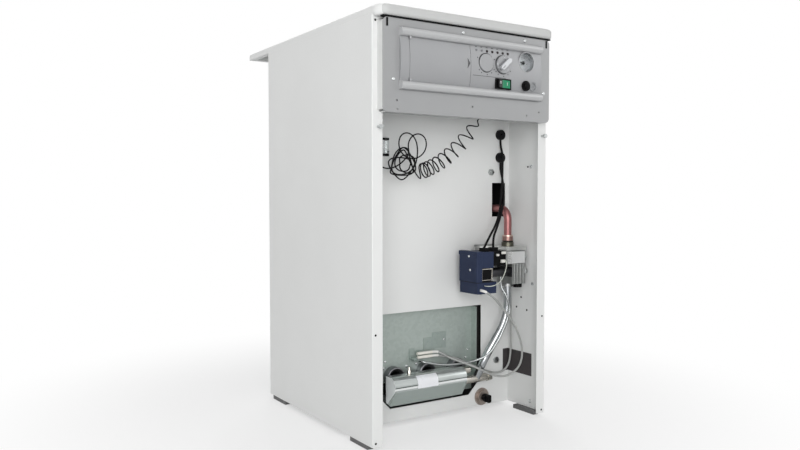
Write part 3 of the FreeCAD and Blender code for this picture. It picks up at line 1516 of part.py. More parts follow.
seat(join(
    block(("pad_left", INSIDE), ("bulkhead_depth - pad_sheet", "bulkhead_depth"), ("pad_bottom", "pad_top")),
    block((f"{INSIDE} - pad_sheet", INSIDE), ("pad_front", "bulkhead_depth"), ("pad_bottom", "pad_top")),
), "corner_liner")

# Tubes and cords: straight runs joined by arcs, swept with a round section.

BEND_SHARE = 0.45


def rounded_route(spots):
    """Edges and bend radii of a route whose corners are rounded as far as the shorter run allows."""
    edges = []
    radii = []
    here = spots[0]
    for before, corner, after in zip(spots, spots[1:], spots[2:]):
        inward = (before - corner).normalize()
        onward = (after - corner).normalize()
        half_turn = (math.pi - inward.getAngle(onward))/2
        reach = BEND_SHARE*min((before - corner).Length, (after - corner).Length)
        radius = reach/math.tan(half_turn)
        middle = corner + (inward + onward).normalize()*(radius/math.cos(half_turn) - radius)
        edges.append(Part.LineSegment(here, corner + inward*reach).toShape())
        edges.append(Part.Arc(corner + inward*reach, middle, corner + onward*reach).toShape())
        radii.append(radius)
        here = corner + onward*reach
    edges.append(Part.LineSegment(here, spots[-1]).toShape())
    return edges, radii


def sweep(edges, radius):
    heading = edges[0].tangentAt(edges[0].FirstParameter)
    ring = Part.Wire(Part.makeCircle(radius, edges[0].valueAt(edges[0].FirstParameter), heading))
    path = Part.Wire(edges)
    solid = path.makePipeShell([ring], True, False)
    due = math.pi*radius**2*path.Length
    if abs(solid.Volume - due) > 0.02*due:
        raise RuntimeError(f"swept volume {solid.Volume:.0f} is not {due:.0f}")
    return solid


def swept_piece(name, edges, size):
    made = doc.addObject("Part::Feature", name)
    made.Shape = sweep(edges, value(size))
    return made


def cord(label, size, route):
    edges, radii = rounded_route([spot(*place) for place in route])
    print(f"{label}: least bend radius {min(radii):.1f}, {min(radii)/2/value(size):.1f} diameters")
    return swept_piece(label, edges, size)


# Supply pipe: from the valve's outlet down to the manifold feed, saddled on it.

supply = cord("supply_run", "supply_radius", [
    ("valve_x", "valve_y", "valve_foot - 1"),
    ("valve_x", "valve_y", "supply_knee"),
    ("supply_x + 17", "manifold_depth - 14", "feed_height + 52"),
    ("supply_x", "manifold_depth", "feed_height"),
])
feed_copy = rod("feed_radius", "x", ("feed_riser_x", "feed_right"), feed_place)
seat(cut(supply, feed_copy), "burner_supply_pipe")

# Pilot tube: thin aluminium, from the neck of the valve to the jet of the pilot burner.

pilot_tube = cord("pilot_tube", "pilot_tube_radius", [
    ("165", f"{VALVE_FRONT} + 24", "neck_height - neck_radius"),
    ("165", f"{VALVE_FRONT} + 24", "287"),
    ("175", "66", "262"),
    ("181", "63", "234"),
    ("172", "64", "206"),
    ("152", "69", "164"),
    ("128", "76", "130"),
    ("95", "93", "116"),
    ("54", "103", "113"),
    ("10", "101", "117"),
    ("pilot_left + 7", "101", "pilot_bottom + 8"),
    ("pilot_left + 7", f"{pilot_front} - 16", "pilot_bottom + 8"),
])
seat(pilot_tube, "pilot_tube")

# Black cables: from the bulkhead grommets down to their plugs.

plug_top = "tower_top + plug_height"
seat(group(
    cord("upper_cable", "cable_radius", [
        ("grommet_x", "bulkhead_depth - grommet_lip/2", "grommet_upper - grommet_radius"),
        ("grommet_x", "bulkhead_depth - grommet_lip/2", "grommet_upper - grommet_radius - 14"),
        ("197", "111", "597"),
        ("193", "106", "570"),
        ("188", "101", "530"),
        ("178", "94", "492"),
        ("162", "82", "455"),
        ("135", "70", "423"),
        (PLUG_PLACES[0][0], PLUG_PLACES[0][1], "403"),
        (PLUG_PLACES[0][0], PLUG_PLACES[0][1], plug_top),
    ]),
    cord("lower_cable", "cable_radius", [
        ("grommet_x", "bulkhead_depth - grommet_lip/2", "grommet_lower - grommet_radius"),
        ("grommet_x", "bulkhead_depth - grommet_lip/2", "grommet_lower - grommet_radius - 14"),
        ("197", "112", "541"),
        ("194", "102", "514"),
        ("180.5", "87", "481"),
        ("171", "83", "450"),
        ("150", "74", "420"),
        (PLUG_PLACES[1][0], PLUG_PLACES[1][1], "401"),
        (PLUG_PLACES[1][0], PLUG_PLACES[1][1], plug_top),
    ]),
), "valve_cables")

# Electrode leads and the short earth lead of the controller.

seat(group(cord("ignition_lead", "lead_radius", [
    ("72", "controller_front", "288"),
    ("72", "26", "288"),
    ("86", "27", "281"),
    ("112", "36", "267"),
    ("135", "47", "251"),
    ("155", "54", "236"),
    ("177", "54", "212"),
    ("195", "55", "185"),
    ("210", "56", "155"),
    ("216", "58", "125"),
    ("211", "62", "97"),
    ("192", "68", "81"),
    ("166", "73", "75"),
    ("130", "74", "86"),
    ("98", "78", "104"),
    ("70", "92", "116"),
    ("44", "112", "127"),
    ("31", "130", "138"),
    ("21", electrode_y, "electrode_height"),
    ("electrode_right", electrode_y, "electrode_height"),
]), cord("sensing_lead", "lead_radius", [
    ("212", "100", "valve_foot"),
    ("212", "100", "281"),
    ("218", "104", "260"),
    ("221", "106", "226"),
    ("222", "107", "190"),
    ("223.5", "108", "153"),
    ("224", "109", "119"),
    ("219", "110", "90"),
    ("200", "112", "75"),
    ("174", "114", "76"),
    ("141", "120", "88"),
    ("104", "123", "106"),
    ("72", "125", "121"),
    ("48", "129", "127"),
    ("32", "133", "130"),
    ("21", electrode_y, "electrode_height - electrode_drop"),
    ("electrode_right", electrode_y, "electrode_height - electrode_drop"),
])), "electrode_leads")

seat(cord("earth_lead", "earth_radius", [
    ("84", "controller_front + tray_setback", "297"),
    ("84", "27", "297"),
    ("97", "26", "297"),
    ("112", "28", "300"),
    ("127", "32", "307"),
    ("141", "37", "320"),
    ("151", "42", "336"),
    ("154", "44", "350"),
    ("154", VALVE_FRONT, "350"),
]), "earth_lead")

# Sensor cord: a curled length that hangs from the control box, then a loose hank in front of the bulkhead.

CURL_AXIS = [Vector(66, 30, 664), Vector(20, 62, 575), Vector(-62, 68, 551)]
CURL_RADIUS = 16
CURL_GATHER = 0.77
HANK_START = 66
HANK_LOOPS = [
    (-75, 602, 24, 23),
    (-93, 605, 25, 26),
    (-106, 566, 28, 31),
    (-96, 567, 21, 20),
    (-105, 557, 30, 23),
    (-94, 573, 20, 21),
    (-98, 555, 31, 21),
    (-142, 618, 44, 54),
]


def curl_spot(share):
    """A point of the curl: a coil about a bowed axis that grows from nothing and gathers to its end."""
    start, knee, end = CURL_AXIS
    along = share**CURL_GATHER
    centre = start*(1 - along)**2 + knee*(2*along*(1 - along)) + end*along**2
    heading = ((knee - start)*(1 - along) + (end - knee)*along).normalize()
    back = (Vector(0, 1, 0) - heading*heading.y).normalize()
    side = heading.cross(back)
    reach = CURL_RADIUS*(1 - math.exp(-along/0.09))
    turn = 2*math.pi*CURLS*share
    return centre + back*(reach*math.cos(turn)) + side*(reach*math.sin(turn))


def hank_spot(turns):
    """A point of the hank: clockwise loops that drift from one ring to the next as they go back."""
    ring = min(int(turns), len(HANK_LOOPS) - 2)
    share = min(turns - ring, 1)
    blend = share*share*(3 - 2*share)
    x, z, wide, high = [a + (b - a)*blend for a, b in zip(HANK_LOOPS[ring], HANK_LOOPS[ring + 1])]
    angle = math.pi - 2*math.pi*turns
    return Vector(x + wide*math.cos(angle), HANK_START + value("hank_step")*turns, z + high*math.sin(angle))


def biarc(start, start_heading, end, end_heading):
    """Two arcs that leave and arrive along given headings."""
    step = end - start
    along = step.dot(start_heading + end_heading)
    spread = 2*(1 - start_heading.dot(end_heading))
    reach = (math.sqrt(along**2 + spread*step.dot(step)) - along)/spread
    joint = (start + end + (start_heading - end_heading)*reach)/2
    edges = []
    for first, elbow, last in ((start, start + start_heading*reach, joint), (joint, end - end_heading*reach, end)):
        weight = (last - first).Length/(2*reach)
        middle = (first + elbow*(2*weight) + last)/(2 + 2*weight)
        edges.append(Part.Arc(first, middle, last).toShape())
    return edges


def least_gap(edges, radius):
    """The least gap between parts of the cord that are not next to each other."""
    spots = []
    travelled = 0
    for edge in edges:
        for share in (0, 0.25, 0.5, 0.75):
            place = edge.FirstParameter + share*(edge.LastParameter - edge.FirstParameter)
            spots.append((travelled + share*edge.Length, edge.valueAt(place)))
        travelled += edge.Length
    near = [(a[1] - b[1]).Length for number, a in enumerate(spots) for b in spots[number + 1:] if b[0] - a[0] > 12*radius]
    return min(near) - 2*radius


def sensor_cord():
    curl = [Vector(66, 30, value("box_bottom + box_sheet")), Vector(66, 30, 667)]
    curl += [curl_spot(number/(4*CURLS)) for number in range(1, 4*CURLS + 1)]
    slack = [Vector(-62, 74, 530), Vector(-84, 66, 545), Vector(-97, 65, 572)]
    loops = [hank_spot(number/4) for number in range(4*(len(HANK_LOOPS) - 1) + 1)]
    grommet = spot("sensor_grommet_x", "bulkhead_depth", "sensor_grommet_z")
    mouth = grommet - Vector(0, value("grommet_lip + 4"), 0)
    spots = curl[1:] + slack + loops + [mouth]
    headings = [(after - before).normalize() for before, after in zip(spots, spots[2:])]
    headings = [Vector(0, 0, -1), *headings, Vector(0, 1, 0)]
    bends = []
    for number in range(len(spots) - 1):
        bends.append(biarc(spots[number], headings[number], spots[number + 1], headings[number + 1]))
    split = len(curl) - 2
    radius = value("sensor_radius")
    first_run = [Part.LineSegment(curl[0], curl[1]).toShape()]
    last_run = [Part.LineSegment(mouth, grommet).toShape()]
    for label, part in (("sensor_cord_curl", [first_run, *bends[:split]]), ("sensor_cord_hank", [*bends[split:], last_run])):
        path = [edge for pair in part for edge in pair]
        print(f"{label}: least gap to itself {least_gap(path, radius):.2f}")
        seat(swept_piece(label, path, "sensor_radius"), label)


sensor_cord()

# Checks, then one STEP file for each sub-part.

doc.recompute()
for item in doc.Objects:
    if "Invalid" in item.State or "Error" in item.State:
        raise RuntimeError(f"{item.Label} did not compute")
for item in doc.Objects:
    if item.isDerivedFrom("PartDesign::Pocket") and item.Shape.Volume > item.BaseFeature.Shape.Volume - 0.01:
        raise RuntimeError(f"{item.Label} removes nothing")
os.makedirs("parts", exist_ok=True)
for item in pieces:
    if item.Shape.isNull() or not item.Shape.isValid():
        raise RuntimeError(f"{item.Label} has no valid shape")
    item.Shape.exportStep(f"parts/{item.Label}.step")
    print(f"{item.Label}: {len(item.Shape.Solids)} solid(s), {item.Shape.Volume/1000:.1f} cm3")
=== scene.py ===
import math
import bpy
from mathutils import Matrix, Vector


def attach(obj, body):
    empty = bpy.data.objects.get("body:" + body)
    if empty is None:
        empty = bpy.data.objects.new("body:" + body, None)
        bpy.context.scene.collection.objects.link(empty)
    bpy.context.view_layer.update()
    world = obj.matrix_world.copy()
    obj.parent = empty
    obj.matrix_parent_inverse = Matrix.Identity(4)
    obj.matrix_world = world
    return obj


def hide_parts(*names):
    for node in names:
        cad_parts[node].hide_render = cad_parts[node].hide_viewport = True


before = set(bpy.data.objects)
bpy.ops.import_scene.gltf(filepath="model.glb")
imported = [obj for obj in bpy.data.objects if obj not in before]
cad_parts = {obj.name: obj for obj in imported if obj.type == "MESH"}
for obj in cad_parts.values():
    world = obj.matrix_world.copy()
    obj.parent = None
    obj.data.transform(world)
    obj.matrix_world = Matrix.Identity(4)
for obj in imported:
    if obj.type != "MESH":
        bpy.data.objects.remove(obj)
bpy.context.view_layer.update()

# Studio. A plain pale floor that fades into white, a large soft lamp low in front, one to each side,
# one behind, one overhead and an even white sky. The camera stands at the left front, a little above
# half the boiler's height.
CAMERA_PLACE = (-0.9919, -1.5803, 0.5073)
CAMERA_TURN = (87.77, 0.0, -33.07)
CAMERA_LENS = 34.19
CAMERA_SENSOR = 36.0
FLOOR_RADIUS = 14.0
FADE_START = 0.35
FADE_END = 1.1
FADE_LEAST = 0.5
WHITE = (1, 1, 1, 1)
SKY_LIGHT = 0.42
LAMPS = {
    "front_lamp": ((-1.6, -2.9, 1.0), (0.1, -0.1, 0.4), 2.4, 57),
    "left_lamp": ((-3.0, -0.4, 1.5), (0.0, 0.0, 0.45), 2.2, 9),
    "right_lamp": ((2.6, -1.9, 1.6), (0.0, 0.0, 0.5), 1.8, 9),
    "rear_lamp": ((1.6, 2.9, 2.2), (0.0, 0.2, 0.5), 2.0, 30),
    "top_lamp": ((0.3, 0.2, 3.4), (0.0, 0.1, 0.85), 2.4, 12),
}


def tint(code):
    """An sRGB hex colour as linear red, green, blue and alpha."""
    shares = [int(code[n:n + 2], 16)/255 for n in (1, 3, 5)]
    return [share/12.92 if share <= 0.04045 else ((share + 0.055)/1.055)**2.4 for share in shares] + [1.0]


def put(tree, kind, sockets=None, **settings):
    """Adds one shader node, with its settings and with its sockets set or linked."""
    made = tree.nodes.new("ShaderNode" + kind)
    for name, value in settings.items():
        setattr(made, name, value)
    for socket, value in (sockets or {}).items():
        if isinstance(value, bpy.types.NodeSocket):
            tree.links.new(value, made.inputs[socket])
        else:
            made.inputs[socket].default_value = value
    return made


camera = bpy.data.objects.new("camera", bpy.data.cameras.new("camera"))
camera.location = CAMERA_PLACE
camera.rotation_euler = [math.radians(turn) for turn in CAMERA_TURN]
camera.data.lens = CAMERA_LENS
camera.data.sensor_width = CAMERA_SENSOR
bpy.context.collection.objects.link(camera)
bpy.context.scene.camera = camera
bpy.context.scene.view_settings.view_transform = "Standard"
for name, (place, aim, width, power) in LAMPS.items():
    lamp = bpy.data.objects.new(name, bpy.data.lights.new(name, "AREA"))
    lamp.location = place
    lamp.rotation_euler = (Vector(aim) - Vector(place)).to_track_quat("-Z", "Y").to_euler()
    lamp.data.shape = "DISK"
    lamp.data.size = width
    lamp.data.energy = power
    bpy.context.collection.objects.link(lamp)

bpy.context.scene.world = bpy.data.worlds.new("white_sky")
bpy.context.scene.world.use_nodes = True
sky = bpy.context.scene.world.node_tree
sky.nodes.clear()
ray = put(sky, "LightPath")
seen = ray.outputs["Is Camera Ray"]
for kind in ("Is Glossy Ray", "Is Transmission Ray"):
    seen = put(sky, "Math", {0: seen, 1: ray.outputs[kind]}, operation="MAXIMUM").outputs[0]
glow = put(sky, "Background", {"Color": WHITE, "Strength": SKY_LIGHT})
white = put(sky, "Background", {"Color": WHITE, "Strength": 1.0})
both = put(sky, "MixShader", {0: seen, 1: glow.outputs[0], 2: white.outputs[0]})
put(sky, "OutputWorld", {"Surface": both.outputs[0]})

bpy.ops.object.select_all(action="DESELECT")
bpy.ops.mesh.primitive_circle_add(vertices=96, radius=FLOOR_RADIUS, fill_type="NGON", location=(0, 0, 0))
floor = bpy.context.object
floor.name = "floor"
paint = bpy.data.materials.new("pale_floor")
paint.use_nodes = True
paint.node_tree.nodes.clear()
tree = paint.node_tree
ray = put(tree, "LightPath")
reach = put(tree, "VectorMath", {0: put(tree, "TexCoord").outputs["Object"]}, operation="LENGTH")
limits = {0: reach.outputs["Value"], 1: FADE_START, 2: FADE_END, 3: FADE_LEAST, 4: 1.0}
fade = put(tree, "MapRange", limits, interpolation_type="SMOOTHSTEP")
fade = put(tree, "Math", {0: fade.outputs[0], 1: ray.outputs["Is Camera Ray"]}, operation="MULTIPLY")
matt = put(tree, "BsdfDiffuse", {"Color": tint("#F6F6F6")})
white = put(tree, "Emission", {"Color": WHITE, "Strength": 1.0})
both = put(tree, "MixShader", {0: fade.outputs[0], 1: matt.outputs[0], 2: white.outputs[0]})
put(tree, "OutputMaterial", {"Surface": both.outputs[0]})
floor.data.materials.append(paint)


# Feet. Four short channels, folded from steel sheet, under the ends of both side panels. They are painted
# dark grey: matt, and rubbed pale on the folds.
def surface(name, shade, deep, patch, grain, relief, roughness, uneven=0.04, edge=0.0, worn=None, cells=0,
            stretch=None, **sockets):
    """A finish of two close shades in soft patches or flat cells, with a grain in relief, and with edges
    that are rounded and rubbed. Patches and grain are drawn out by stretch. Sizes are in mm."""
    material = bpy.data.materials.new(name)
    material.use_nodes = True
    tree = material.node_tree
    shader = tree.nodes["Principled BSDF"]
    place = put(tree, "TexCoord").outputs["Object"]
    drawn = put(tree, "Mapping", {"Vector": place, "Scale": stretch}).outputs[0] if stretch else place
    soft = {"Vector": drawn, "Scale": 1000/patch, "Detail": 4.0, "Roughness": 0.6}
    cloud = put(tree, "TexNoise", soft).outputs[0]
    if cells:
        flakes = put(tree, "TexVoronoi", {"Vector": place, "Scale": 1000/cells, "Randomness": 1.0})
        flake = put(tree, "SeparateColor", {0: flakes.outputs["Color"]}).outputs[0]
        cloud = put(tree, "Mix", {0: 0.65, 2: cloud, 3: flake}).outputs[0]
    fine = {"Vector": drawn, "Scale": 1000/grain, "Detail": 3.0, "Roughness": 0.55}
    grit = put(tree, "TexNoise", fine).outputs[0]
    shades = put(tree, "Mix", {0: cloud, 6: tint(shade), 7: tint(deep)}, data_type="RGBA").outputs[2]
    dull = put(tree, "MapRange", {0: cloud, 1: 0.3, 2: 0.7, 3: roughness - uneven, 4: roughness + uneven})
    lift = put(tree, "Bump", {"Height": grit, "Strength": 1.0, "Distance": relief/1000})
    if edge:
        rounded = put(tree, "Bevel", {"Radius": edge/1000}, samples=4).outputs[0]
        tree.links.new(rounded, lift.inputs["Normal"])
    if worn:
        flat = put(tree, "NewGeometry").outputs["Normal"]
        near = put(tree, "VectorMath", {0: rounded, 1: flat}, operation="DOT_PRODUCT").outputs["Value"]
        rubbed = put(tree, "MapRange", {0: near, 1: 0.99, 2: 0.85, 3: 0.0, 4: 0.7}).outputs[0]
        shades = put(tree, "Mix", {0: rubbed, 6: shades, 7: tint(worn)}, data_type="RGBA").outputs[2]
    tree.links.new(shades, shader.inputs["Base Color"])
    tree.links.new(dull.outputs[0], shader.inputs["Roughness"])
    tree.links.new(lift.outputs[0], shader.inputs["Normal"])
    for socket, value in sockets.items():
        shader.inputs[socket.replace("_", " ")].default_value = value
    return material


def wears(material, *names):
    """Gives a finish to the named pieces of the model."""
    for name in names:
        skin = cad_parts[name]
        skin.data.materials.clear()
        skin.data.materials.append(material)


dark_paint = surface(
    "dark_grey_paint", "#6B6B6B", "#606061", patch=60, grain=1.2, relief=0.02, roughness=0.6, edge=0.6,
    worn="#77777A", Specular_IOR_Level=0.3)
wears(dark_paint, "feet")

# Base tray, back panel and control box. Steel sheet, folded and electroplated with zinc: a cool satin
# grey with faint clouds where the bath worked unevenly, and bright where the folds are rubbed.
zinc_plate = surface(
    "zinc_plated_steel", "#BDC1C1", "#A7ACAC", patch=45, grain=0.9, relief=0.006, roughness=0.36,
    uneven=0.08, edge=0.4, worn="#D5D8D8", Metallic=1.0)
wears(zinc_plate, "back_panel", "base_tray", "control_box")

# Heat exchanger. Grey iron sections cast in sand and drawn together on nipples by steel tie rods:
# nearly black, with the coarse skin that the sand leaves.
sand_cast_iron = surface(
    "sand_cast_iron", "#3B3A39", "#2B2A2A", patch=18, grain=1.6, relief=0.25, roughness=0.78,
    Metallic=0.25)
wears(sand_cast_iron, "cast_sections")
bright_steel = surface(
    "bright_steel", "#A9A9AA", "#8C8C8E", patch=14, grain=0.6, relief=0.01, roughness=0.36, uneven=0.1,
    edge=0.3, worn="#C4C4C6", Metallic=1.0)
wears(bright_steel, "section_fixings")

# Insulation jacket. Resin-bonded mineral wool, faced with black glass tissue: matt, with felted fibres
# that are drawn about three times as coarse as they are so that they show.
tissue_faced_wool = surface(
    "tissue_faced_wool", "#1A1917", "#100F0E", patch=9, grain=1.4, relief=0.5, roughness=0.95,
    stretch=(1.0, 1.0, 0.2), Specular_IOR_Level=0.1)
wears(tissue_faced_wool, "insulation_jacket")

# Flue collector, draught hood and spigot. Folded and rolled aluminised steel sheet, joined by
# lock seams: pale grey with a soft metallic bloom and fine lines from the rolls.
aluminised_sheet = surface(
    "aluminised_steel_sheet", "#B4B7B7", "#9EA2A2", patch=22, grain=1.0, relief=0.012, roughness=0.4,
    uneven=0.08, edge=0.4, worn="#CBCDCD", stretch=(0.06, 1.0, 1.0), Metallic=0.9)
wears(aluminised_sheet, "flue_collector", "draught_hood", "flue_spigot")

# Water pipes. Drawn steel tube from the end section to the back, with taper threads that are cut into
# the ends: 11 turns to the inch, oiled and darker than the tube.
MM = 0.001
FRONT_Y = -0.3107
PANEL_FOOT = 0.009
WATER_THREADS = [(129, 537, 590), (129, 537, 275)]
WATER_THREAD_RADIUS = 20.9
WATER_PITCH = 2.31
WATER_TURNS = 9
RIDGE_SIZE = 0.36
RIDGE_SINK = 0.16
RIDGE_STEPS = 36
SMOOTH_ANGLE = 35


def in_frame(spot):
    """A place in mm from the cabinet's middle, front flanges and panel foot, as metres in the frame."""
    return Vector((spot[0]*MM, spot[1]*MM + FRONT_Y, spot[2]*MM + PANEL_FOOT))


def add_part(name, kind, **size):
    """Adds a primitive with nothing else selected."""
    bpy.ops.object.select_all(action="DESELECT")
    getattr(bpy.ops.mesh, f"primitive_{kind}_add")(**size)
    bpy.context.object.name = name
    return bpy.context.object


def use_modifier(piece, kind, **settings):
    """Adds a modifier to a piece and applies it."""
    modifier = piece.modifiers.new(kind.lower(), kind)
    for name, value in settings.items():
        setattr(modifier, name, value)
    bpy.context.view_layer.objects.active = piece
    bpy.ops.object.modifier_apply(modifier=modifier.name)


def join_parts(name, parts):
    """Makes one piece of several."""
    bpy.ops.object.select_all(action="DESELECT")
    for part in parts:
        part.select_set(True)
    bpy.context.view_layer.objects.active = parts[0]
    bpy.ops.object.join()
    parts[0].name = name
    return parts[0]


def fit(piece, finish, body="cabinet"):
    """Puts a finished piece on its body, with its place in its mesh."""
    bpy.ops.object.select_all(action="DESELECT")
    piece.select_set(True)
    bpy.context.view_layer.objects.active = piece
    bpy.ops.object.transform_apply(location=True, rotation=True, scale=True)
    bpy.ops.object.shade_smooth_by_angle(angle=math.radians(SMOOTH_ANGLE))
    piece.data.materials.clear()
    piece.data.materials.append(finish)
    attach(piece, body)
    return piece


def edit_all():
    """Opens the active piece in edit mode with all of it selected."""
    bpy.ops.object.mode_set(mode="EDIT")
    bpy.ops.mesh.select_all(action="SELECT")


def thread_ridge(spot, radius, pitch, turns):
    """A thread's ridge: a triangle that is screwed along the pipe, with its ends closed. Its size and its
    depth in the pipe are shares of the pitch."""
    ridge = add_part("thread", "circle", vertices=3, radius=RIDGE_SIZE*pitch*MM, rotation=(0, 0, -math.pi/2))
    bpy.ops.object.transform_apply(location=False, rotation=True, scale=False)
    edit_all()
    bpy.ops.transform.translate(value=((radius - RIDGE_SINK*pitch)*MM, 0, 0))
    bpy.ops.object.mode_set(mode="OBJECT")
    use_modifier(ridge, "SCREW", axis="Y", screw_offset=pitch*MM, iterations=turns, steps=RIDGE_STEPS,
                 render_steps=RIDGE_STEPS)
    edit_all()
    bpy.ops.mesh.fill_holes(sides=3)
    bpy.ops.mesh.normals_make_consistent(inside=False)
    bpy.ops.object.mode_set(mode="OBJECT")
    ridge.location = in_frame(spot)
    return ridge


wears(bright_steel, "water_pipes")
cut_steel = surface(
    "cut_steel_thread", "#7C7C7E", "#636366", patch=4, grain=0.4, relief=0.02, roughness=0.38,
    uneven=0.1, stretch=(1.0, 0.1, 1.0), Metallic=1.0)
ridges = [thread_ridge(spot, WATER_THREAD_RADIUS, WATER_PITCH, WATER_TURNS) for spot in WATER_THREADS]
fit(join_parts("water_pipe_threads", ridges), cut_steel)

# Side panels, top cover and bulkhead. Folded steel sheet with a white powder coat that is baked on:
# satin, with the faint orange peel of powder and edges that the coat rounds off. The front of the cover's
# nose is painted a darker grey, and the panels' inner sides behind the bulkhead are painted near black:
# both are painted shade.
BEHIND_BULKHEAD = (-184, 185)
SHADED_COVER_NOSE = (-345, -334)
INNER_FACES = (-229.2, 229.2)


def recolour(material, shade, **spans):
    """Between two limits along each named axis of the frame, in mm, a finish takes another colour."""
    tree = material.node_tree
    shader = tree.nodes["Principled BSDF"]
    place = put(tree, "SeparateXYZ", {0: put(tree, "TexCoord").outputs["Object"]})
    share = 1.0
    for axis, (start, end) in spans.items():
        middle = (start + end)/2*MM
        reach = (end - start)/2*MM
        inside = put(tree, "Math", {0: place.outputs[axis], 1: middle, 2: reach}, operation="COMPARE")
        share = put(tree, "Math", {0: inside.outputs[0], 1: share}, operation="MULTIPLY").outputs[0]
    before = shader.inputs["Base Color"].links[0].from_socket
    both = put(tree, "Mix", {0: share, 6: before, 7: tint(shade)}, data_type="RGBA")
    tree.links.new(both.outputs[2], shader.inputs["Base Color"])


white_powder_coat = surface(
    "white_powder_coat", "#E3E4E3", "#DDDEDD", patch=160, grain=2.4, relief=0.012, roughness=0.4,
    edge=0.8, worn="#EDEEED", Specular_IOR_Level=0.4)
shaded_inside = white_powder_coat.copy()
shaded_inside.name = "white_powder_coat_primed_inside"
# Painted shade: the front of the cover's nose is painted a darker grey.
recolour(white_powder_coat, "#C1C2C1", Y=SHADED_COVER_NOSE)
wears(white_powder_coat, "top_cover", "front_bulkhead")
# Painted shade: the panels' inner sides behind the bulkhead are painted near black.
recolour(shaded_inside, "#1B1B1C", X=INNER_FACES, Y=BEHIND_BULKHEAD)
wears(shaded_inside, "left_side_panel", "right_side_panel")

# Hole plugs. Six plugs of moulded black nylon: matt, pressed into the fixing holes of the front flanges and
# a little sunk.
PLUG_PLACES = [(side*222, 0.5, height) for side in (-1, 1) for height in (7, 223, 838)]
PLUG_RADIUS = 2.3
PLUG_LENGTH = 5
PLUG_BEVEL = 0.4
plugs = []
for spot in PLUG_PLACES:
    plug = add_part("plug", "cylinder", vertices=24, radius=PLUG_RADIUS*MM, depth=PLUG_LENGTH*MM,
                    location=in_frame(spot) + Vector((0, PLUG_LENGTH*MM/2, 0)), rotation=(math.pi/2, 0, 0))
    use_modifier(plug, "BEVEL", width=PLUG_BEVEL*MM, segments=2, limit_method="ANGLE")
    plugs.append(plug)
plug_nylon = surface(
    "black_plug_nylon", "#131314", "#0B0B0C", patch=4, grain=0.4, relief=0.01, roughness=0.55,
    Specular_IOR_Level=0.1)
fit(join_parts("flange_hole_plugs", plugs), plug_nylon)

# Screws of the cabinet. Pan heads with a cross recess: three zinc-plated and four black ones hold the right
# panel's inner fittings, and a plated row down each side holds the back panel. The four black heads are
# painted near black as painted shade for dark holes in the panel.
PANEL_SCREWS = [(228.5, 38.6, 293), (228.5, 45.7, 565), (228.5, 44.4, 15.8)]
DARK_HOLE_SCREWS = [(228.5, 77.7, 257.4), (228.5, 93.4, 232.5), (228.5, 57.7, 228.9), (228.5, 57, 565)]
BACK_SCREWS = [(side*220, 498.5, height) for side in (-1, 1) for height in (30, 230, 430, 630, 830)]
SCREW_TWIST = 0.9
PAN_RADIUS = 4.2
BLACK_RADIUS = 2.2
HEAD_HEIGHT = 0.6
HEAD_MIDDLE = 0.28
HEAD_ROUND = 0.42
RECESS_SIZE = (1.1, 0.26, 0.5)
RECESS_MIDDLE = 0.55
LEFTWARDS = (-1, 0, 0)
REARWARDS = (0, 1, 0)


def pick(piece, wanted):
    """Opens a piece in edit mode with only the wanted faces selected."""
    bpy.ops.object.mode_set(mode="EDIT")
    bpy.ops.mesh.select_mode(type="FACE")
    bpy.ops.mesh.select_all(action="DESELECT")
    bpy.ops.object.mode_set(mode="OBJECT")
    for face in piece.data.polygons:
        face.select = wanted(face)
    bpy.ops.object.mode_set(mode="EDIT")


def model_screw(radius):
    """A screw's pan head with its cross recess, on the origin. Its sizes are shares of its radius."""
    head = add_part("screw", "cylinder", vertices=24, radius=radius, depth=HEAD_HEIGHT*radius,
                    location=(0, 0, HEAD_MIDDLE*radius))
    bpy.ops.object.transform_apply(location=True, rotation=False, scale=False)
    pick(head, lambda face: face.normal.z > 0.9)
    bpy.ops.mesh.bevel(offset=HEAD_ROUND*radius, segments=4, profile=0.6, affect="EDGES")
    bpy.ops.object.mode_set(mode="OBJECT")
    for turn in (0, math.pi/2):
        bit = add_part("bit", "cube", size=1, location=(0, 0, RECESS_MIDDLE*radius), rotation=(0, 0, turn),
                       scale=[share*radius for share in RECESS_SIZE])
        use_modifier(head, "BOOLEAN", operation="DIFFERENCE", object=bit)
        bpy.data.objects.remove(bit)
    return head


def set_screws(name, spots, faces, radius, finish):
    """Screw heads at their places, each turned to its own angle, as one piece."""
    pattern = model_screw(radius*MM)
    turned = Vector(faces).to_track_quat("Z", "Y").to_matrix().to_4x4()
    heads = []
    for count, spot in enumerate(spots):
        head = bpy.data.objects.new(name, pattern.data.copy())
        twist = Matrix.Rotation(SCREW_TWIST*count, 4, "Z")
        head.data.transform(Matrix.Translation(in_frame(spot)) @ turned @ twist)
        bpy.context.collection.objects.link(head)
        heads.append(head)
    bpy.data.objects.remove(pattern)
    return fit(join_parts(name, heads), finish)


plated_screw = surface(
    "plated_screw", "#D9DBDB", "#C3C6C6", patch=3, grain=0.3, relief=0.01, roughness=0.24, uneven=0.06,
    Metallic=1.0)
# Painted shade: these heads are coloured near black to stand for dark holes in the right panel.
shade_black_finish = surface(
    "black_oxide_screw", "#2C2B2A", "#1E1E1E", patch=3, grain=0.3, relief=0.01, roughness=0.5,
    Specular_IOR_Level=0.2)
set_screws("right_panel_screws", PANEL_SCREWS, LEFTWARDS, PAN_RADIUS, plated_screw)
set_screws("right_panel_dark_hole_screws", DARK_HOLE_SCREWS, LEFTWARDS, BLACK_RADIUS, shade_black_finish)
set_screws("back_panel_screws", BACK_SCREWS, REARWARDS, PAN_RADIUS, plated_screw)

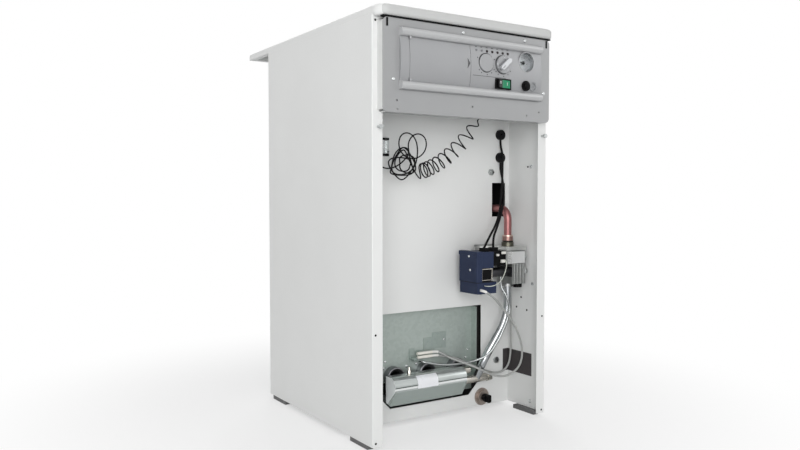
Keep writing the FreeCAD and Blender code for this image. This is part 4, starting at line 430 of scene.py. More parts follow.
# Door studs, bulkhead nuts and cord clip. Turned steel and pressed strip, zinc plated: bright and cool.
# The clip's two ends are dipped in black vinyl.
CLIP_WIDTH = (-147, -114)
CLIP_ENDS = [(591, 597), (626, 632)]
bright_zinc = surface(
    "bright_zinc_plate", "#C9CCCC", "#B1B5B5", patch=8, grain=0.5, relief=0.006, roughness=0.28,
    uneven=0.08, edge=0.4, worn="#E1E3E3", Metallic=1.0)
for end in CLIP_ENDS:
    recolour(bright_zinc, "#232324", X=CLIP_WIDTH, Z=end)
wears(bright_zinc, "door_studs", "bulkhead_nuts", "cord_clip")

# Grommets and corner liner. Moulded black rubber rings, pressed into the bulkhead's holes, and a sheet of
# rubber in the lower right corner: matt, with a waxy grey bloom.
moulded_rubber = surface(
    "moulded_black_rubber", "#181819", "#0F0F10", patch=8, grain=0.7, relief=0.02, roughness=0.6,
    edge=0.4, worn="#2E2E30", Specular_IOR_Level=0.15)
wears(moulded_rubber, "grommets")
sheet_rubber = surface(
    "sheet_rubber", "#484445", "#3C393A", patch=20, grain=0.9, relief=0.03, roughness=0.6, edge=0.4,
    worn="#4A4748", Specular_IOR_Level=0.2)
wears(sheet_rubber, "corner_liner")

# Burner shield, inspection plate and pilot burner. Hot-dip galvanised sheet, cut and folded: a greenish
# grey with the flat crystals of the zinc, about 6 mm across, each a little lighter or duller than the next.
# The shield's lower left corner is painted near black as painted shade.
SHADED_CORNER = {"X": (-134, -98), "Z": (38, 92)}
SHIELD_SCREWS = [
    (-52.6, 146, 114), (-26, 146, 116.5), (-113, 146, 116), (-110.4, 146, 131), (115, 146, 115.1),
    (121, 146, 133), (41.6, 146, 133.7)]
SHIELD_SCREW_RADIUS = 3.0
PLATE_SCREW = (50.5, 144.8, 164.7)
PLATE_SCREW_RADIUS = 2.8
FORWARDS = (0, -1, 0)
galvanised = surface(
    "galvanised_sheet", "#AEB8B3", "#A5AFAA", patch=60, grain=1.0, relief=0.008, roughness=0.4,
    uneven=0.1, edge=0.4, worn="#C2CCC8", cells=6, Metallic=0.5)
# Painted shade: the shield's lower left corner is painted near black.
recolour(galvanised, "#191A1A", **SHADED_CORNER)
wears(galvanised, "burner_shield")
duller_sheet = surface(
    "galvanised_plate", "#9CA8A3", "#949F9A", patch=30, grain=1.0, relief=0.008, roughness=0.44,
    edge=0.5, worn="#B9C3BF", cells=5, Metallic=0.5)
wears(duller_sheet, "inspection_plate", "pilot_burner")
set_screws("shield_screws", SHIELD_SCREWS, FORWARDS, SHIELD_SCREW_RADIUS, plated_screw)
set_screws("inspection_plate_screw", [PLATE_SCREW], FORWARDS, PLATE_SCREW_RADIUS, plated_screw)

# Burner bars. Three stainless tubes, rolled and flared at the mouth and held in the shield's holes: dull
# outside, and heat tinted at the ports.
stainless_tube = surface(
    "stainless_burner_tube", "#8C8D8F", "#68686C", patch=25, grain=0.7, relief=0.01, roughness=0.42,
    uneven=0.1, edge=0.4, worn="#9A9A9E", stretch=(1.0, 0.1, 1.0), Metallic=1.0)
wears(stainless_tube, "burner_bars")

# Gas manifold with its injectors. A rail and fittings of turned brass, nickel plated: warm silver and
# smooth, with worn edges.
nickel_plate = surface(
    "nickel_plated_brass", "#C9C6C0", "#B5B0A6", patch=20, grain=0.8, relief=0.004, roughness=0.18,
    edge=0.3, worn="#E2DCCB", Metallic=1.0)
wears(nickel_plate, "gas_manifold")

# Manifold guard. One bent sheet of bright-rolled aluminium: nearly a mirror, with long lines from the
# rolls that are painted in strong light and dark streaks as painted reflection, and slow waves that bend
# what it reflects. Along the nose the bend is painted with a dark line of painted shade and a bright line
# of painted highlight, and the apron below is painted an even grey as painted shade.
PAINTED_BEND_SHADE = (92.6, 95)
PAINTED_BEND_HIGHLIGHT = (88.4, 92.6)
SHADED_APRON = (50, 85)
# Painted reflection: the rolling lines are painted in strong pale and dark streaks.
bright_rolled = surface(
    "bright_rolled_aluminium", "#E4E9E7", "#858D8B", patch=9, grain=5.0, relief=0.09, roughness=0.14,
    uneven=0.05, edge=0.4, worn="#DDE0DF", stretch=(0.08, 1.0, 1.0), Metallic=0.6)
# Painted shade and painted highlight: a dark line and a bright line along the bend, and an even grey apron.
recolour(bright_rolled, "#6A716F", Z=PAINTED_BEND_SHADE)
recolour(bright_rolled, "#F4F7F6", Z=PAINTED_BEND_HIGHLIGHT)
recolour(bright_rolled, "#AEB8B4", Z=SHADED_APRON)
wears(bright_rolled, "manifold_guard")

# End blank of the guard. A matt plate that closes its left end, coloured near white as painted light so that
# it looks lit: cut to the guard's outline, with the nose rounded and the chin and the floor cut on a slope.
BLANK_MIDDLE = (-123.25, 102, 73.75)
BLANK_SIZE = (0.5, 36, 63.5)
BLANK_CHIN = (0, 84, 76)
CHIN_FACES = (0, -34, -19)
BLANK_TOE = (0, 103, 42)
FLOOR_FACES = (0, 0.32, -1)
NOSE_ROUND = 20
NEAR = 0.5


def pick_edges(piece, wanted):
    """Opens a piece in edit mode with only those edges selected that have both ends wanted."""
    bpy.ops.object.mode_set(mode="EDIT")
    bpy.ops.mesh.select_mode(type="EDGE")
    bpy.ops.mesh.select_all(action="DESELECT")
    bpy.ops.object.mode_set(mode="OBJECT")
    for edge in piece.data.edges:
        edge.select = all(wanted(piece.data.vertices[number].co) for number in edge.vertices)
    bpy.ops.object.mode_set(mode="EDIT")


def block(name, middle, size):
    """A block of the given size, with its front towards the room."""
    part = add_part(name, "cube", size=1, location=in_frame(middle), scale=[length*MM for length in size])
    bpy.ops.object.transform_apply(location=False, rotation=False, scale=True)
    return part


blank = block("guard_end_blank", BLANK_MIDDLE, BLANK_SIZE)
for corner, facing in ((BLANK_CHIN, CHIN_FACES), (BLANK_TOE, FLOOR_FACES)):
    edit_all()
    bpy.ops.mesh.bisect(plane_co=in_frame(corner), plane_no=facing, clear_outer=True, use_fill=True)
nose = Vector((0, -BLANK_SIZE[1], BLANK_SIZE[2]))*MM/2
pick_edges(blank, lambda end: (Vector((0, end.y, end.z)) - nose).length < NEAR*MM)
bpy.ops.mesh.bevel(offset=NOSE_ROUND*MM, segments=10, affect="EDGES")
bpy.ops.object.mode_set(mode="OBJECT")
# Painted light: the end plate is coloured near white so that it looks lit.
lit_end_paint = surface(
    "matt_pale_paint", "#F0F4F4", "#E8EDED", patch=20, grain=0.6, relief=0.006, roughness=0.6,
    uneven=0.06)
fit(blank, lit_end_paint)

# Film on the guard's nose. A blank sheet of white vinyl that is stuck round the nose and down to the bend:
# a length of tube, cut to the part of its round that lies on the guard and drawn down from there.
FILM_MIDDLE = (-36, 104, 85.5)
FILM_LENGTH = 54
FILM_RADIUS = 20.3
FILM_DROP = 8
FILM_START = math.radians(28)
FILM_THICKNESS = 0.2
film = add_part("guard_film", "cylinder", vertices=96, radius=FILM_RADIUS*MM, depth=FILM_LENGTH*MM,
                end_fill_type="NOTHING", location=in_frame(FILM_MIDDLE), rotation=(0, math.pi/2, 0))
bpy.ops.object.transform_apply(location=False, rotation=True, scale=False)
for facing in ((0, 0, -1), (0, math.cos(FILM_START), math.sin(FILM_START))):
    edit_all()
    bpy.ops.mesh.bisect(plane_co=in_frame(FILM_MIDDLE), plane_no=facing, clear_outer=True)
pick_edges(film, lambda end: end.z < 0.01*MM)
bpy.ops.mesh.extrude_edges_move(TRANSFORM_OT_translate={"value": (0, 0, -FILM_DROP*MM)})
bpy.ops.mesh.select_all(action="SELECT")
bpy.ops.mesh.normals_make_consistent(inside=False)
bpy.ops.object.mode_set(mode="OBJECT")
use_modifier(film, "SOLIDIFY", thickness=FILM_THICKNESS*MM, offset=-1)
white_vinyl = surface(
    "blank_white_vinyl", "#EDEEF1", "#E4E6EA", patch=12, grain=0.5, relief=0.004, roughness=0.3,
    uneven=0.06)
fit(film, white_vinyl)

# Pressure test nipple. A turned brass fitting on the manifold, nickel plated: a hexagon, a stem and a
# smaller screw in its end, each stepped in from the one below.
NIPPLE_FOOT = (-72, 106, 105.4)
NIPPLE_STEPS = [(0.6, 5.0), (0.4, 1.2), (1.2, 5.5), (0.5, 0.6)]
HEXAGON_RADIUS = 4.6
HEXAGON_HEIGHT = 4
NIPPLE_BEVEL = 0.25
nipple = add_part("test_nipple", "cylinder", vertices=6, radius=HEXAGON_RADIUS*MM, depth=HEXAGON_HEIGHT*MM,
                  location=(0, 0, HEXAGON_HEIGHT/2*MM))
bpy.ops.object.transform_apply(location=True, rotation=False, scale=False)
pick(nipple, lambda face: face.normal.z > 0.9)
for narrowing, rise in NIPPLE_STEPS:
    bpy.ops.mesh.inset(thickness=narrowing*MM, depth=0)
    bpy.ops.mesh.extrude_region_move(TRANSFORM_OT_translate={"value": (0, 0, rise*MM)})
bpy.ops.object.mode_set(mode="OBJECT")
use_modifier(nipple, "BEVEL", width=NIPPLE_BEVEL*MM, segments=2, limit_method="ANGLE")
nipple.location = in_frame(NIPPLE_FOOT)
fit(nipple, nickel_plate)

# Electrodes. Two rods of white ceramic, clamped beside the pilot burner and glazed: smooth, glossy and
# a little warm.
glazed_ceramic = surface(
    "glazed_ceramic", "#EFEDE6", "#E4E1D8", patch=10, grain=0.8, relief=0.01, roughness=0.18)
wears(glazed_ceramic, "electrodes")

# Gas valve. A pressure-cast aluminium body with machined faces, and a mounting plate on top that is
# left as cast: satin, with a fine casting skin and bright machined edges. The neck to the coil is dark.
VALVE_PLATE = (380.5, 389.5)
VALVE_NECK = {"X": (100, 181), "Z": (318.5, 341.5)}
VALVE_BOLTS = [(218, 55.5, 357), (221, 56, 322)]
VALVE_BOLT_RADIUS = 6.0
RIGHTWARDS = (1, 0, 0)
cast_aluminium = surface(
    "cast_aluminium", "#ABACAB", "#939594", patch=16, grain=0.7, relief=0.03, roughness=0.36,
    uneven=0.08, edge=0.6, worn="#D8D9D8", Metallic=0.95)
recolour(cast_aluminium, "#DADBD9", Z=VALVE_PLATE)
recolour(cast_aluminium, "#4E4E51", **VALVE_NECK)
wears(cast_aluminium, "gas_valve_body")
set_screws("valve_bolts", VALVE_BOLTS, RIGHTWARDS, VALVE_BOLT_RADIUS, plated_screw)

# Valve plate and terminal strip. A bare stamped plate with a raised rim, and a moulded strip beside it
# with a row of square wire entries.
PLATE_MIDDLE = (197, 53.6, 355)
PLATE_SIZE = (39, 1.0, 27)
PLATE_RIM = 1.4
PLATE_SINK = 0.4
STRIP_MIDDLE = (168.5, 52.5, 355.5)
STRIP_SIZE = (12, 4, 28)
STRIP_WAYS = 5
ENTRY_WALL = 1.5
ENTRY_DEPTH = 2.5
pale_stock = surface(
    "pale_plate", "#DEDFDF", "#D3D4D4", patch=12, grain=0.6, relief=0.006, roughness=0.35, uneven=0.06,
    edge=0.3, worn="#E2E3E3", Metallic=0.3)
plate = block("bare_valve_plate", PLATE_MIDDLE, PLATE_SIZE)
pick(plate, lambda face: face.normal.y < -0.9)
bpy.ops.mesh.inset(thickness=PLATE_RIM*MM, depth=-PLATE_SINK*MM)
bpy.ops.object.mode_set(mode="OBJECT")
fit(plate, pale_stock)
grey_moulding = surface(
    "pale_grey_nylon", "#C2C3C2", "#B4B5B4", patch=8, grain=0.5, relief=0.01, roughness=0.42, edge=0.4,
    worn="#D8D9D8")
strip = block("valve_terminal_strip", STRIP_MIDDLE, STRIP_SIZE)
for way in range(1, STRIP_WAYS):
    height = STRIP_SIZE[2]*(way/STRIP_WAYS - 0.5)*MM
    edit_all()
    bpy.ops.mesh.bisect(plane_co=in_frame(STRIP_MIDDLE) + Vector((0, 0, height)), plane_no=(0, 0, 1))
bpy.ops.object.mode_set(mode="OBJECT")
pick(strip, lambda face: face.normal.y < -0.9)
bpy.ops.mesh.inset(thickness=ENTRY_WALL*MM, depth=-ENTRY_DEPTH*MM, use_individual=True)
bpy.ops.object.mode_set(mode="OBJECT")
fit(strip, grey_moulding)

# Valve coils, plugs and regulator cap. Wound coils in moulded black nylon, with a fine sparked grain
# and edges that catch the light.
black_nylon = surface(
    "moulded_black_nylon", "#111112", "#0A0A0B", patch=10, grain=0.45, relief=0.02, roughness=0.5,
    edge=0.6, worn="#363638", Specular_IOR_Level=0.08)
wears(black_nylon, "regulator_cap", "valve_coils", "cable_plugs")

# Coil yoke. A frame pressed from steel strip, round the front of the lower coil, and nickel plated: bright,
# with rounded edges.
YOKE_MIDDLE = (97, 45.4, 320.8)
YOKE_SIZE = (31, 1.2, 27)
YOKE_STRIP = 2.0
YOKE_BEVEL = 0.3
yoke = block("coil_yoke", YOKE_MIDDLE, YOKE_SIZE)
pick(yoke, lambda face: abs(face.normal.y) > 0.9)
bpy.ops.mesh.inset(thickness=YOKE_STRIP*MM, depth=0, use_individual=True)
bpy.ops.mesh.bridge_edge_loops()
bpy.ops.object.mode_set(mode="OBJECT")
use_modifier(yoke, "BEVEL", width=YOKE_BEVEL*MM, segments=2, limit_method="ANGLE")
fit(yoke, nickel_plate)

# Wire connectors. Three housings of moulded white nylon, open in front and pushed onto the upper coil's
# terminals.
CONNECTORS = [
    ((150.5, 51.5, 367.5), (11, 5, 6)), ((149, 51.5, 348.5), (12, 5, 7)), ((133.5, 52, 363), (7, 4, 5))]
HOUSING_WALL = 0.8
HOUSING_DEPTH = 1.5
white_nylon = surface(
    "white_nylon", "#E4E3DE", "#D8D7D1", patch=6, grain=0.5, relief=0.01, roughness=0.38, edge=0.4,
    worn="#F0EFEB")
housings = []
for middle, size in CONNECTORS:
    housing = block("connector", middle, size)
    use_modifier(housing, "BEVEL", width=HOUSING_WALL*MM, segments=2)
    pick(housing, lambda face: face.normal.y < -0.99)
    bpy.ops.mesh.inset(thickness=HOUSING_WALL*MM, depth=-HOUSING_DEPTH*MM)
    bpy.ops.object.mode_set(mode="OBJECT")
    housings.append(housing)
fit(join_parts("coil_connectors", housings), white_nylon)

# Ignition controller. A box and lid of dark blue ABS, moulded with a fine sparked grain and held to
# its bracket by two screws through its broad side. A thin near-black line, painted shade, runs where the box
# steps in to its tray.
CONTROLLER_SCREWS = [(61, 64, 362.9), (61, 60, 332)]
CONTROLLER_SCREW_RADIUS = 3.0
TRAY_SHADOW_LINE = (312.8, 314.6)
navy_abs = surface(
    "moulded_navy_abs", "#27324C", "#202942", patch=30, grain=0.5, relief=0.02, roughness=0.5, edge=0.7,
    worn="#43506E", Specular_IOR_Level=0.2)
# Painted shade: a thin near-black line where the box steps in to its tray.
recolour(navy_abs, "#10141F", Z=TRAY_SHADOW_LINE)
wears(navy_abs, "ignition_controller")
set_screws("controller_screws", CONTROLLER_SCREWS, LEFTWARDS, CONTROLLER_SCREW_RADIUS, plated_screw)

# Gas inlet pipe and its union. Drawn copper, dulled to a pink brown, which ends at the back in a brass
# thread of 14 turns to the inch, and is painted near black behind the bulkhead as painted shade. The union
# is a dull brass flange, a dark nut and a copper collar, with a painted highlight on the collar's rim.
INLET_THREAD = (189, 545, 467.5)
INLET_THREAD_RADIUS = 13.2
INLET_PITCH = 1.81
INLET_TURNS = 7
BRASS_END = (233, 250)
SHADED_BEHIND_BULKHEAD = (-174, 186)
UNION_NUT = (398, 402)
UNION_COLLAR = (402, 412)
PAINTED_RIM_HIGHLIGHT = (412, 416)
drawn_copper = surface(
    "drawn_copper", "#A97473", "#916060", patch=22, grain=0.9, relief=0.01, roughness=0.34, uneven=0.08,
    stretch=(1.0, 1.0, 0.1), Metallic=0.75)
# Painted shade: the pipe is painted near black where it runs behind the bulkhead.
recolour(drawn_copper, "#3E2826", Y=SHADED_BEHIND_BULKHEAD)
recolour(drawn_copper, "#B79B63", Y=BRASS_END)
wears(drawn_copper, "gas_inlet_pipe")
cut_brass = surface(
    "cut_brass_thread", "#B79B63", "#9C8250", patch=4, grain=0.4, relief=0.02, roughness=0.34,
    uneven=0.08, stretch=(1.0, 0.1, 1.0), Metallic=1.0)
inlet_ridge = thread_ridge(INLET_THREAD, INLET_THREAD_RADIUS, INLET_PITCH, INLET_TURNS)
fit(join_parts("gas_pipe_thread", [inlet_ridge]), cut_brass)
union_brass = surface(
    "dull_union_brass", "#66655A", "#58574D", patch=10, grain=0.6, relief=0.01, roughness=0.34, edge=0.4,
    worn="#9D9988", Metallic=0.9)
recolour(union_brass, "#3F3E3A", Z=UNION_NUT)
recolour(union_brass, "#957670", Z=UNION_COLLAR)
# Painted highlight: the collar's rim is painted a pale pink.
recolour(union_brass, "#D9C4B8", Z=PAINTED_RIM_HIGHLIGHT)
wears(union_brass, "inlet_union")

# Burner supply pipe and pilot tube. A bent steel tube, chrome plated, and a drawn aluminium capillary
# beside it: both bright, with long lines from the die.
chrome_plate = surface(
    "chrome_plated_tube", "#B9BCBE", "#A1A4A7", patch=26, grain=1.6, relief=0.01, roughness=0.12,
    uneven=0.04, stretch=(1.0, 1.0, 0.15), Metallic=1.0)
wears(chrome_plate, "burner_supply_pipe")
drawn_aluminium = surface(
    "drawn_aluminium_tube", "#AEB1B1", "#969999", patch=20, grain=0.6, relief=0.006, roughness=0.26,
    stretch=(0.1, 1.0, 1.0), Metallic=1.0)
wears(drawn_aluminium, "pilot_tube")

# Drain cock. A body of cast bronze in the bulkhead's hole, turned on its faces and browned by water, with a
# knob of moulded black nylon.
browned_bronze = surface(
    "browned_bronze", "#B9AEA6", "#93877F", patch=9, grain=0.9, relief=0.05, roughness=0.42, uneven=0.1,
    edge=0.4, worn="#B8A595", Metallic=0.8)
wears(browned_bronze, "drain_cock")
wears(black_nylon, "drain_knob")


# Valve cables. Two round mains cables in black PVC, from the bulkhead's grommets to the plugs on the
# valve's coils. They are stiff, so they keep a slow curve.
def run_cord(name, route, radius, sheath):
    """One smooth round cord through its route, with the radius in mm."""
    curve = bpy.data.curves.new(name, "CURVE")
    curve.dimensions = "3D"
    spline = curve.splines.new("NURBS")
    spline.points.add(len(route) - 1)
    for point, spot in zip(spline.points, route):
        point.co = (*in_frame(spot), 1.0)
    spline.order_u = 3
    spline.use_endpoint_u = True
    spline.resolution_u = 6
    curve.bevel_depth = radius*MM
    curve.bevel_resolution = 4
    curve.use_fill_caps = True
    curve.materials.append(sheath)
    cord = bpy.data.objects.new(name, curve)
    bpy.context.collection.objects.link(cord)
    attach(cord, "cabinet")
    return cord


CABLE_RADIUS = 2.6
black_pvc = surface(
    "black_pvc_sheath", "#131314", "#0B0B0C", patch=12, grain=0.6, relief=0.01, roughness=0.5,
    Specular_IOR_Level=0.12)
UPPER_CABLE = [
    (199, 121, 630), (199, 121, 616), (197, 111, 597), (193, 106, 570), (188, 101, 530), (179, 94, 492),
    (164, 83, 455), (144, 74, 427), (120, 65, 405), (100, 60, 380)]
LOWER_CABLE = [
    (199, 121, 576), (199, 121, 562), (197, 112, 541), (194, 102, 514), (180.5, 87, 481), (167, 82, 450),
    (147, 73, 421), (131, 66, 401), (132, 66, 380)]
upper_cable = run_cord("upper_valve_cable", UPPER_CABLE, CABLE_RADIUS, black_pvc)
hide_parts("valve_cables")
lower_cable = run_cord("lower_valve_cable", LOWER_CABLE, CABLE_RADIUS, black_pvc)
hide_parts("valve_cables")

# Electrode leads. Two silicone-rubber high-tension leads, grey, which hang in a loop from the
# controller and the valve to the pilot's electrodes, with white silicone boots on their ends.
IGNITION_LEAD = [
    (72, 36, 288), (72, 26, 288), (86, 27, 281), (112, 36, 267), (135, 47, 251), (155, 54, 236),
    (177, 54, 212), (195, 55, 185), (210, 56, 155), (216, 58, 125), (211, 62, 97), (192, 68, 81),
    (166, 73, 75), (130, 74, 86), (98, 78, 104), (70, 92, 116), (44, 112, 127), (31, 130, 138),
    (21, 136, 141), (10, 136, 141)]
SENSING_LEAD = [
    (212, 100, 293), (212, 100, 281), (218, 104, 260), (221, 106, 226), (222, 107, 190),
    (223.5, 108, 153), (224, 109, 119), (219, 110, 90), (200, 112, 75), (174, 114, 76), (141, 120, 88),
    (104, 123, 106), (72, 125, 121), (48, 129, 127), (32, 133, 130), (21, 136, 132), (10, 136, 132)]
LEAD_RADIUS = 2.4
BOOT_RADIUS = 3.2
IGNITION_SLEEVE = [(72, 36, 288), (72, 26, 288), (79, 26.5, 284.5)]
IGNITION_BOOT = [(26, 133, 139.5), (21, 136, 141), (10, 136, 141)]
SENSING_BOOT = [(26.5, 134.5, 131), (21, 136, 132), (10, 136, 132)]
grey_silicone = surface(
    "grey_silicone_sheath", "#ABACAA", "#989A98", patch=14, grain=0.7, relief=0.01, roughness=0.4)
white_silicone = surface(
    "white_silicone_boot", "#E6E6E3", "#DADAD6", patch=6, grain=0.6, relief=0.01, roughness=0.45)
ignition_lead = run_cord("ignition_lead", IGNITION_LEAD, LEAD_RADIUS, grey_silicone)
ignition_ends = [
    run_cord("ignition_sleeve", IGNITION_SLEEVE, BOOT_RADIUS, white_silicone),
    run_cord("ignition_boot", IGNITION_BOOT, BOOT_RADIUS, white_silicone)]
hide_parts("electrode_leads")
sensing_lead = run_cord("sensing_lead", SENSING_LEAD, LEAD_RADIUS, grey_silicone)
sensing_ends = [run_cord("sensing_boot", SENSING_BOOT, BOOT_RADIUS, white_silicone)]
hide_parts("electrode_leads")

# Earth lead. A thin wire in pale green PVC, looped from the controller's tray up to a connector on the
# upper coil.
EARTH_LEAD = [
    (84, 38, 297), (84, 27, 297), (97, 26, 297), (112, 28, 300), (127, 32, 307), (141, 37, 320),
    (151, 42, 336), (154, 44, 350), (154, 54, 350)]
EARTH_RADIUS = 0.9
pale_pvc = surface(
    "pale_green_pvc", "#D9DCD2", "#C9CFC0", patch=6, grain=0.5, relief=0.006, roughness=0.4)
earth_lead = run_cord("earth_lead_wire", EARTH_LEAD, EARTH_RADIUS, pale_pvc)
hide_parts("earth_lead")

# Control fascia. A folded steel plate in silver-grey powder coat, held to the control box by four
# plated screws with cross recesses. Its folded ends are coated white, as the panels beside them are.
FASCIA_WALLS = [(-218.5, -208), (208, 218.5)]
WALL_DEPTH = (-329.6, -310)
FASCIA_SCREWS = [(-25, -21, 832), (144, -21, 834), (-195, -21, 724), (200, -21, 724)]
FASCIA_SCREW_RADIUS = 3.6
silver_powder_coat = surface(
    "silver_powder_coat", "#A1A2A3", "#999A9B", patch=120, grain=1.4, relief=0.012, roughness=0.36,
    edge=0.6, worn="#B9BABB", Metallic=0.25)
for wall in FASCIA_WALLS:
    recolour(silver_powder_coat, "#D6D7D6", X=wall, Y=WALL_DEPTH)
wears(silver_powder_coat, "control_fascia")
heads = set_screws("fascia_screw_heads", FASCIA_SCREWS, FORWARDS, FASCIA_SCREW_RADIUS, plated_screw)
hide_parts("fascia_screws")

# Slot clips. Two black nylon spring clips, pushed into the tall slots at the fascia's top corners until
# their thin flanges lie on the sheet.
SLOT_OUT = 208.5
SLOT_HEIGHT = 832.5
CLIP_DEPTH = -18.9
CLIP_SIZE = (2.8, 4.2, 14.6)
CLIP_BEVEL = 0.3
FLANGE_DEPTH = -21.4
FLANGE_SIZE = (4.4, 0.8, 16.4)
clips = []
for depth, size in ((CLIP_DEPTH, CLIP_SIZE), (FLANGE_DEPTH, FLANGE_SIZE)):
    clips += [block("clip", (side*SLOT_OUT, depth, SLOT_HEIGHT), size) for side in (-1, 1)]
for clip in clips:
    use_modifier(clip, "BEVEL", width=CLIP_BEVEL*MM, segments=2)
fit(join_parts("fascia_slot_clips", clips), plug_nylon)

# Cover shadow strip. A strip of black foam along the fascia's top edge and under the cover's front overhang:
# matt, with soft edges. Its black is painted shade for the dark gap and the shaded underside of the cover.
SHADOW_STRIP_MIDDLE = (0, -18.5, 843.5)
SHADOW_STRIP_SIZE = (438, 11, 2.8)
SHADOW_STRIP_BEVEL = 0.6
# Painted shade: a black strip stands for the shadowed gap under the cover.
shade_piece = block("cover_shadow_strip", SHADOW_STRIP_MIDDLE, SHADOW_STRIP_SIZE)
use_modifier(shade_piece, "BEVEL", width=SHADOW_STRIP_BEVEL*MM, segments=3)
fit(shade_piece, plug_nylon)

# Console and flap. Moulded ABS with a fine aluminium flake: a satin silver grey, with the two rails painted
# paler as painted highlight.
# The flap hinges at its left end and shares the console's bow.
RAIL_HIGHLIGHTS = [(715, 731.5), (818, 834)]
silver_abs = surface(
    "moulded_silver_abs", "#A2A3A5", "#999A9C", patch=90, grain=0.5, relief=0.01, roughness=0.34,
    edge=0.6, worn="#BEBFC1", Metallic=0.25)
# Painted highlight: the two rails are painted a paler grey.
for rail_highlight in RAIL_HIGHLIGHTS:
    recolour(silver_abs, "#B7B8B9", Z=rail_highlight)
wears(silver_abs, "console_frame", "console_flap")

# Console print. Dark grey pad print: a ring of dots round each dial, a rule under them and a short
# dash over each lamp. Each mark is a film of ink, drawn 0.1 mm thick so that it stays clear of the face.
DIALS = [(31, 775), (76, 775)]
DOT_RING = 24.5
DOT_TURNS = (22, 158, 221, 240, 277, 307, 330)
DOT_RADIUS = 1.3
RULE = [(-4, 747), (86, 747)]
LAMP_START = 6.5
LAMP_PITCH = 14.3
LAMP_COUNT = 7
RULE_WIDTH = 0.9
DASH_HEIGHT = 807
DASH_SIZE = (5.0, 1.5)
INK = 0.1
OUTSIDE = -200


def front_of(node, x, z):
    """How far back a piece's front is at a place, in mm, and where it faces."""
    start = in_frame((x, OUTSIDE, z))
    _, spot, normal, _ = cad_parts[node].ray_cast(start, Vector((0, 1, 0)))
    return (spot.y - FRONT_Y)/MM, normal


def ink_film(kind, x, z, node, wide, tall, **size):
    """A film of ink on a piece's front, laid flat on the face that it is printed on."""
    film = add_part("ink", kind, **size)
    film.scale = (wide*MM, tall*MM, 1)
    bpy.ops.object.transform_apply(location=False, rotation=False, scale=True)
    edit_all()
    bpy.ops.mesh.extrude_region_move(TRANSFORM_OT_translate={"value": (0, 0, INK*MM)})
    bpy.ops.mesh.select_all(action="SELECT")
    bpy.ops.mesh.normals_make_consistent(inside=False)
    bpy.ops.object.mode_set(mode="OBJECT")
    depth, normal = front_of(node, x, z)
    film.rotation_euler = normal.to_track_quat("Z", "Y").to_euler()
    film.location = in_frame((x, depth, z))
    return film


grey_ink = surface(
    "grey_pad_print", "#454648", "#3C3D3F", patch=4, grain=0.3, relief=0.004, roughness=0.5)
films = []
for x, z in DIALS:
    for turn in DOT_TURNS:
        spot = (x + DOT_RING*math.cos(math.radians(turn)), z + DOT_RING*math.sin(math.radians(turn)))
        films.append(ink_film("circle", *spot, "console_frame", DOT_RADIUS, DOT_RADIUS, vertices=12,
                              fill_type="NGON"))
(rule_left, rule_height), (rule_right, _) = RULE
rule_middle = (rule_left + rule_right)/2
rule_length = rule_right - rule_left
films.append(ink_film("plane", rule_middle, rule_height, "console_frame", rule_length, RULE_WIDTH, size=1))
for lamp in range(LAMP_COUNT):
    x = LAMP_START + lamp*LAMP_PITCH
    films.append(ink_film("plane", x, DASH_HEIGHT, "console_frame", *DASH_SIZE, size=1))
fit(join_parts("console_print", films), grey_ink)

# Flap catch. A post, moulded with the console in the same ABS, behind the flap's finger notch. It stops a
# finger's depth back.
CATCH_MIDDLE = (-17.5, -16.8, 770)
CATCH_SIZE = (14, 15, 15)
CATCH_BEVEL = 1.2
catch = block("flap_catch", CATCH_MIDDLE, CATCH_SIZE)
use_modifier(catch, "BEVEL", width=CATCH_BEVEL*MM, segments=3)
fit(catch, silver_abs)

# Blanking disc and temperature knob. Moulded ABS in the console's silver, the knob vacuum plated: bright
# and slightly worn on its grip, painted a darker grey on its skirt, with a printed pointer. A thin dark ring
# round each is painted shade for the gap round it, and the thermostat behind the knob is of bright steel.
KNOB_SKIRT = (-348.6, -330)
KNOB_GRIP_TURN = 42
KNOB_FACE = -43.6
SHADOW_RING_RADIUS = 19.5
SHADOW_RING_THICK = 0.7
SHADOW_RING_FLAT = 0.7
SHADOW_RING_DEPTH = -28.7
POINTER_SIZE = (8.5, 0.3, 1.4)
POINTER_REACH = 10
POINTER_BEVEL = 0.12


def flat_ring(name, around, across, radius, thick, flat):
    """A flattened ring on the origin, with its sizes in mm and its segments around and across."""
    ring = add_part(name, "torus", major_segments=around, minor_segments=across, major_radius=radius*MM,
                    minor_radius=thick*MM)
    edit_all()
    bpy.ops.transform.resize(value=(1, 1, flat))
    bpy.ops.object.mode_set(mode="OBJECT")
    return ring


wears(silver_abs, "blanking_disc")
plated_abs = surface(
    "plated_abs", "#CBCDCF", "#BBBDC0", patch=12, grain=0.5, relief=0.006, roughness=0.24, uneven=0.05,
    edge=0.6, worn="#E4E5E7", Metallic=0.6)
# The skirt is painted a darker grey than the grip.
recolour(plated_abs, "#97989A", Y=KNOB_SKIRT)
wears(plated_abs, "temperature_knob")
wears(bright_steel, "control_thermostat")
# Painted shade: a thin dark ring round each dial stands for the shadowed gap round it.
shadow_rings = []
for x, z in DIALS:
    shade_piece = flat_ring("dial_shadow_ring", 64, 10, SHADOW_RING_RADIUS, SHADOW_RING_THICK, SHADOW_RING_FLAT)
    shade_piece.rotation_euler = (math.pi/2, 0, 0)
    shade_piece.location = in_frame((x, SHADOW_RING_DEPTH, z))
    shadow_rings.append(shade_piece)
fit(join_parts("dial_shadow_rings", shadow_rings), moulded_rubber)
grip = math.radians(KNOB_GRIP_TURN)
knob_x, knob_z = DIALS[1]
pointer = block("knob_pointer", (0, 0, 0), POINTER_SIZE)
use_modifier(pointer, "BEVEL", width=POINTER_BEVEL*MM, segments=2)
pointer.location = in_frame((knob_x - POINTER_REACH*math.cos(grip), KNOB_FACE,
                             knob_z - POINTER_REACH*math.sin(grip)))
pointer.rotation_euler = (0, -grip, 0)
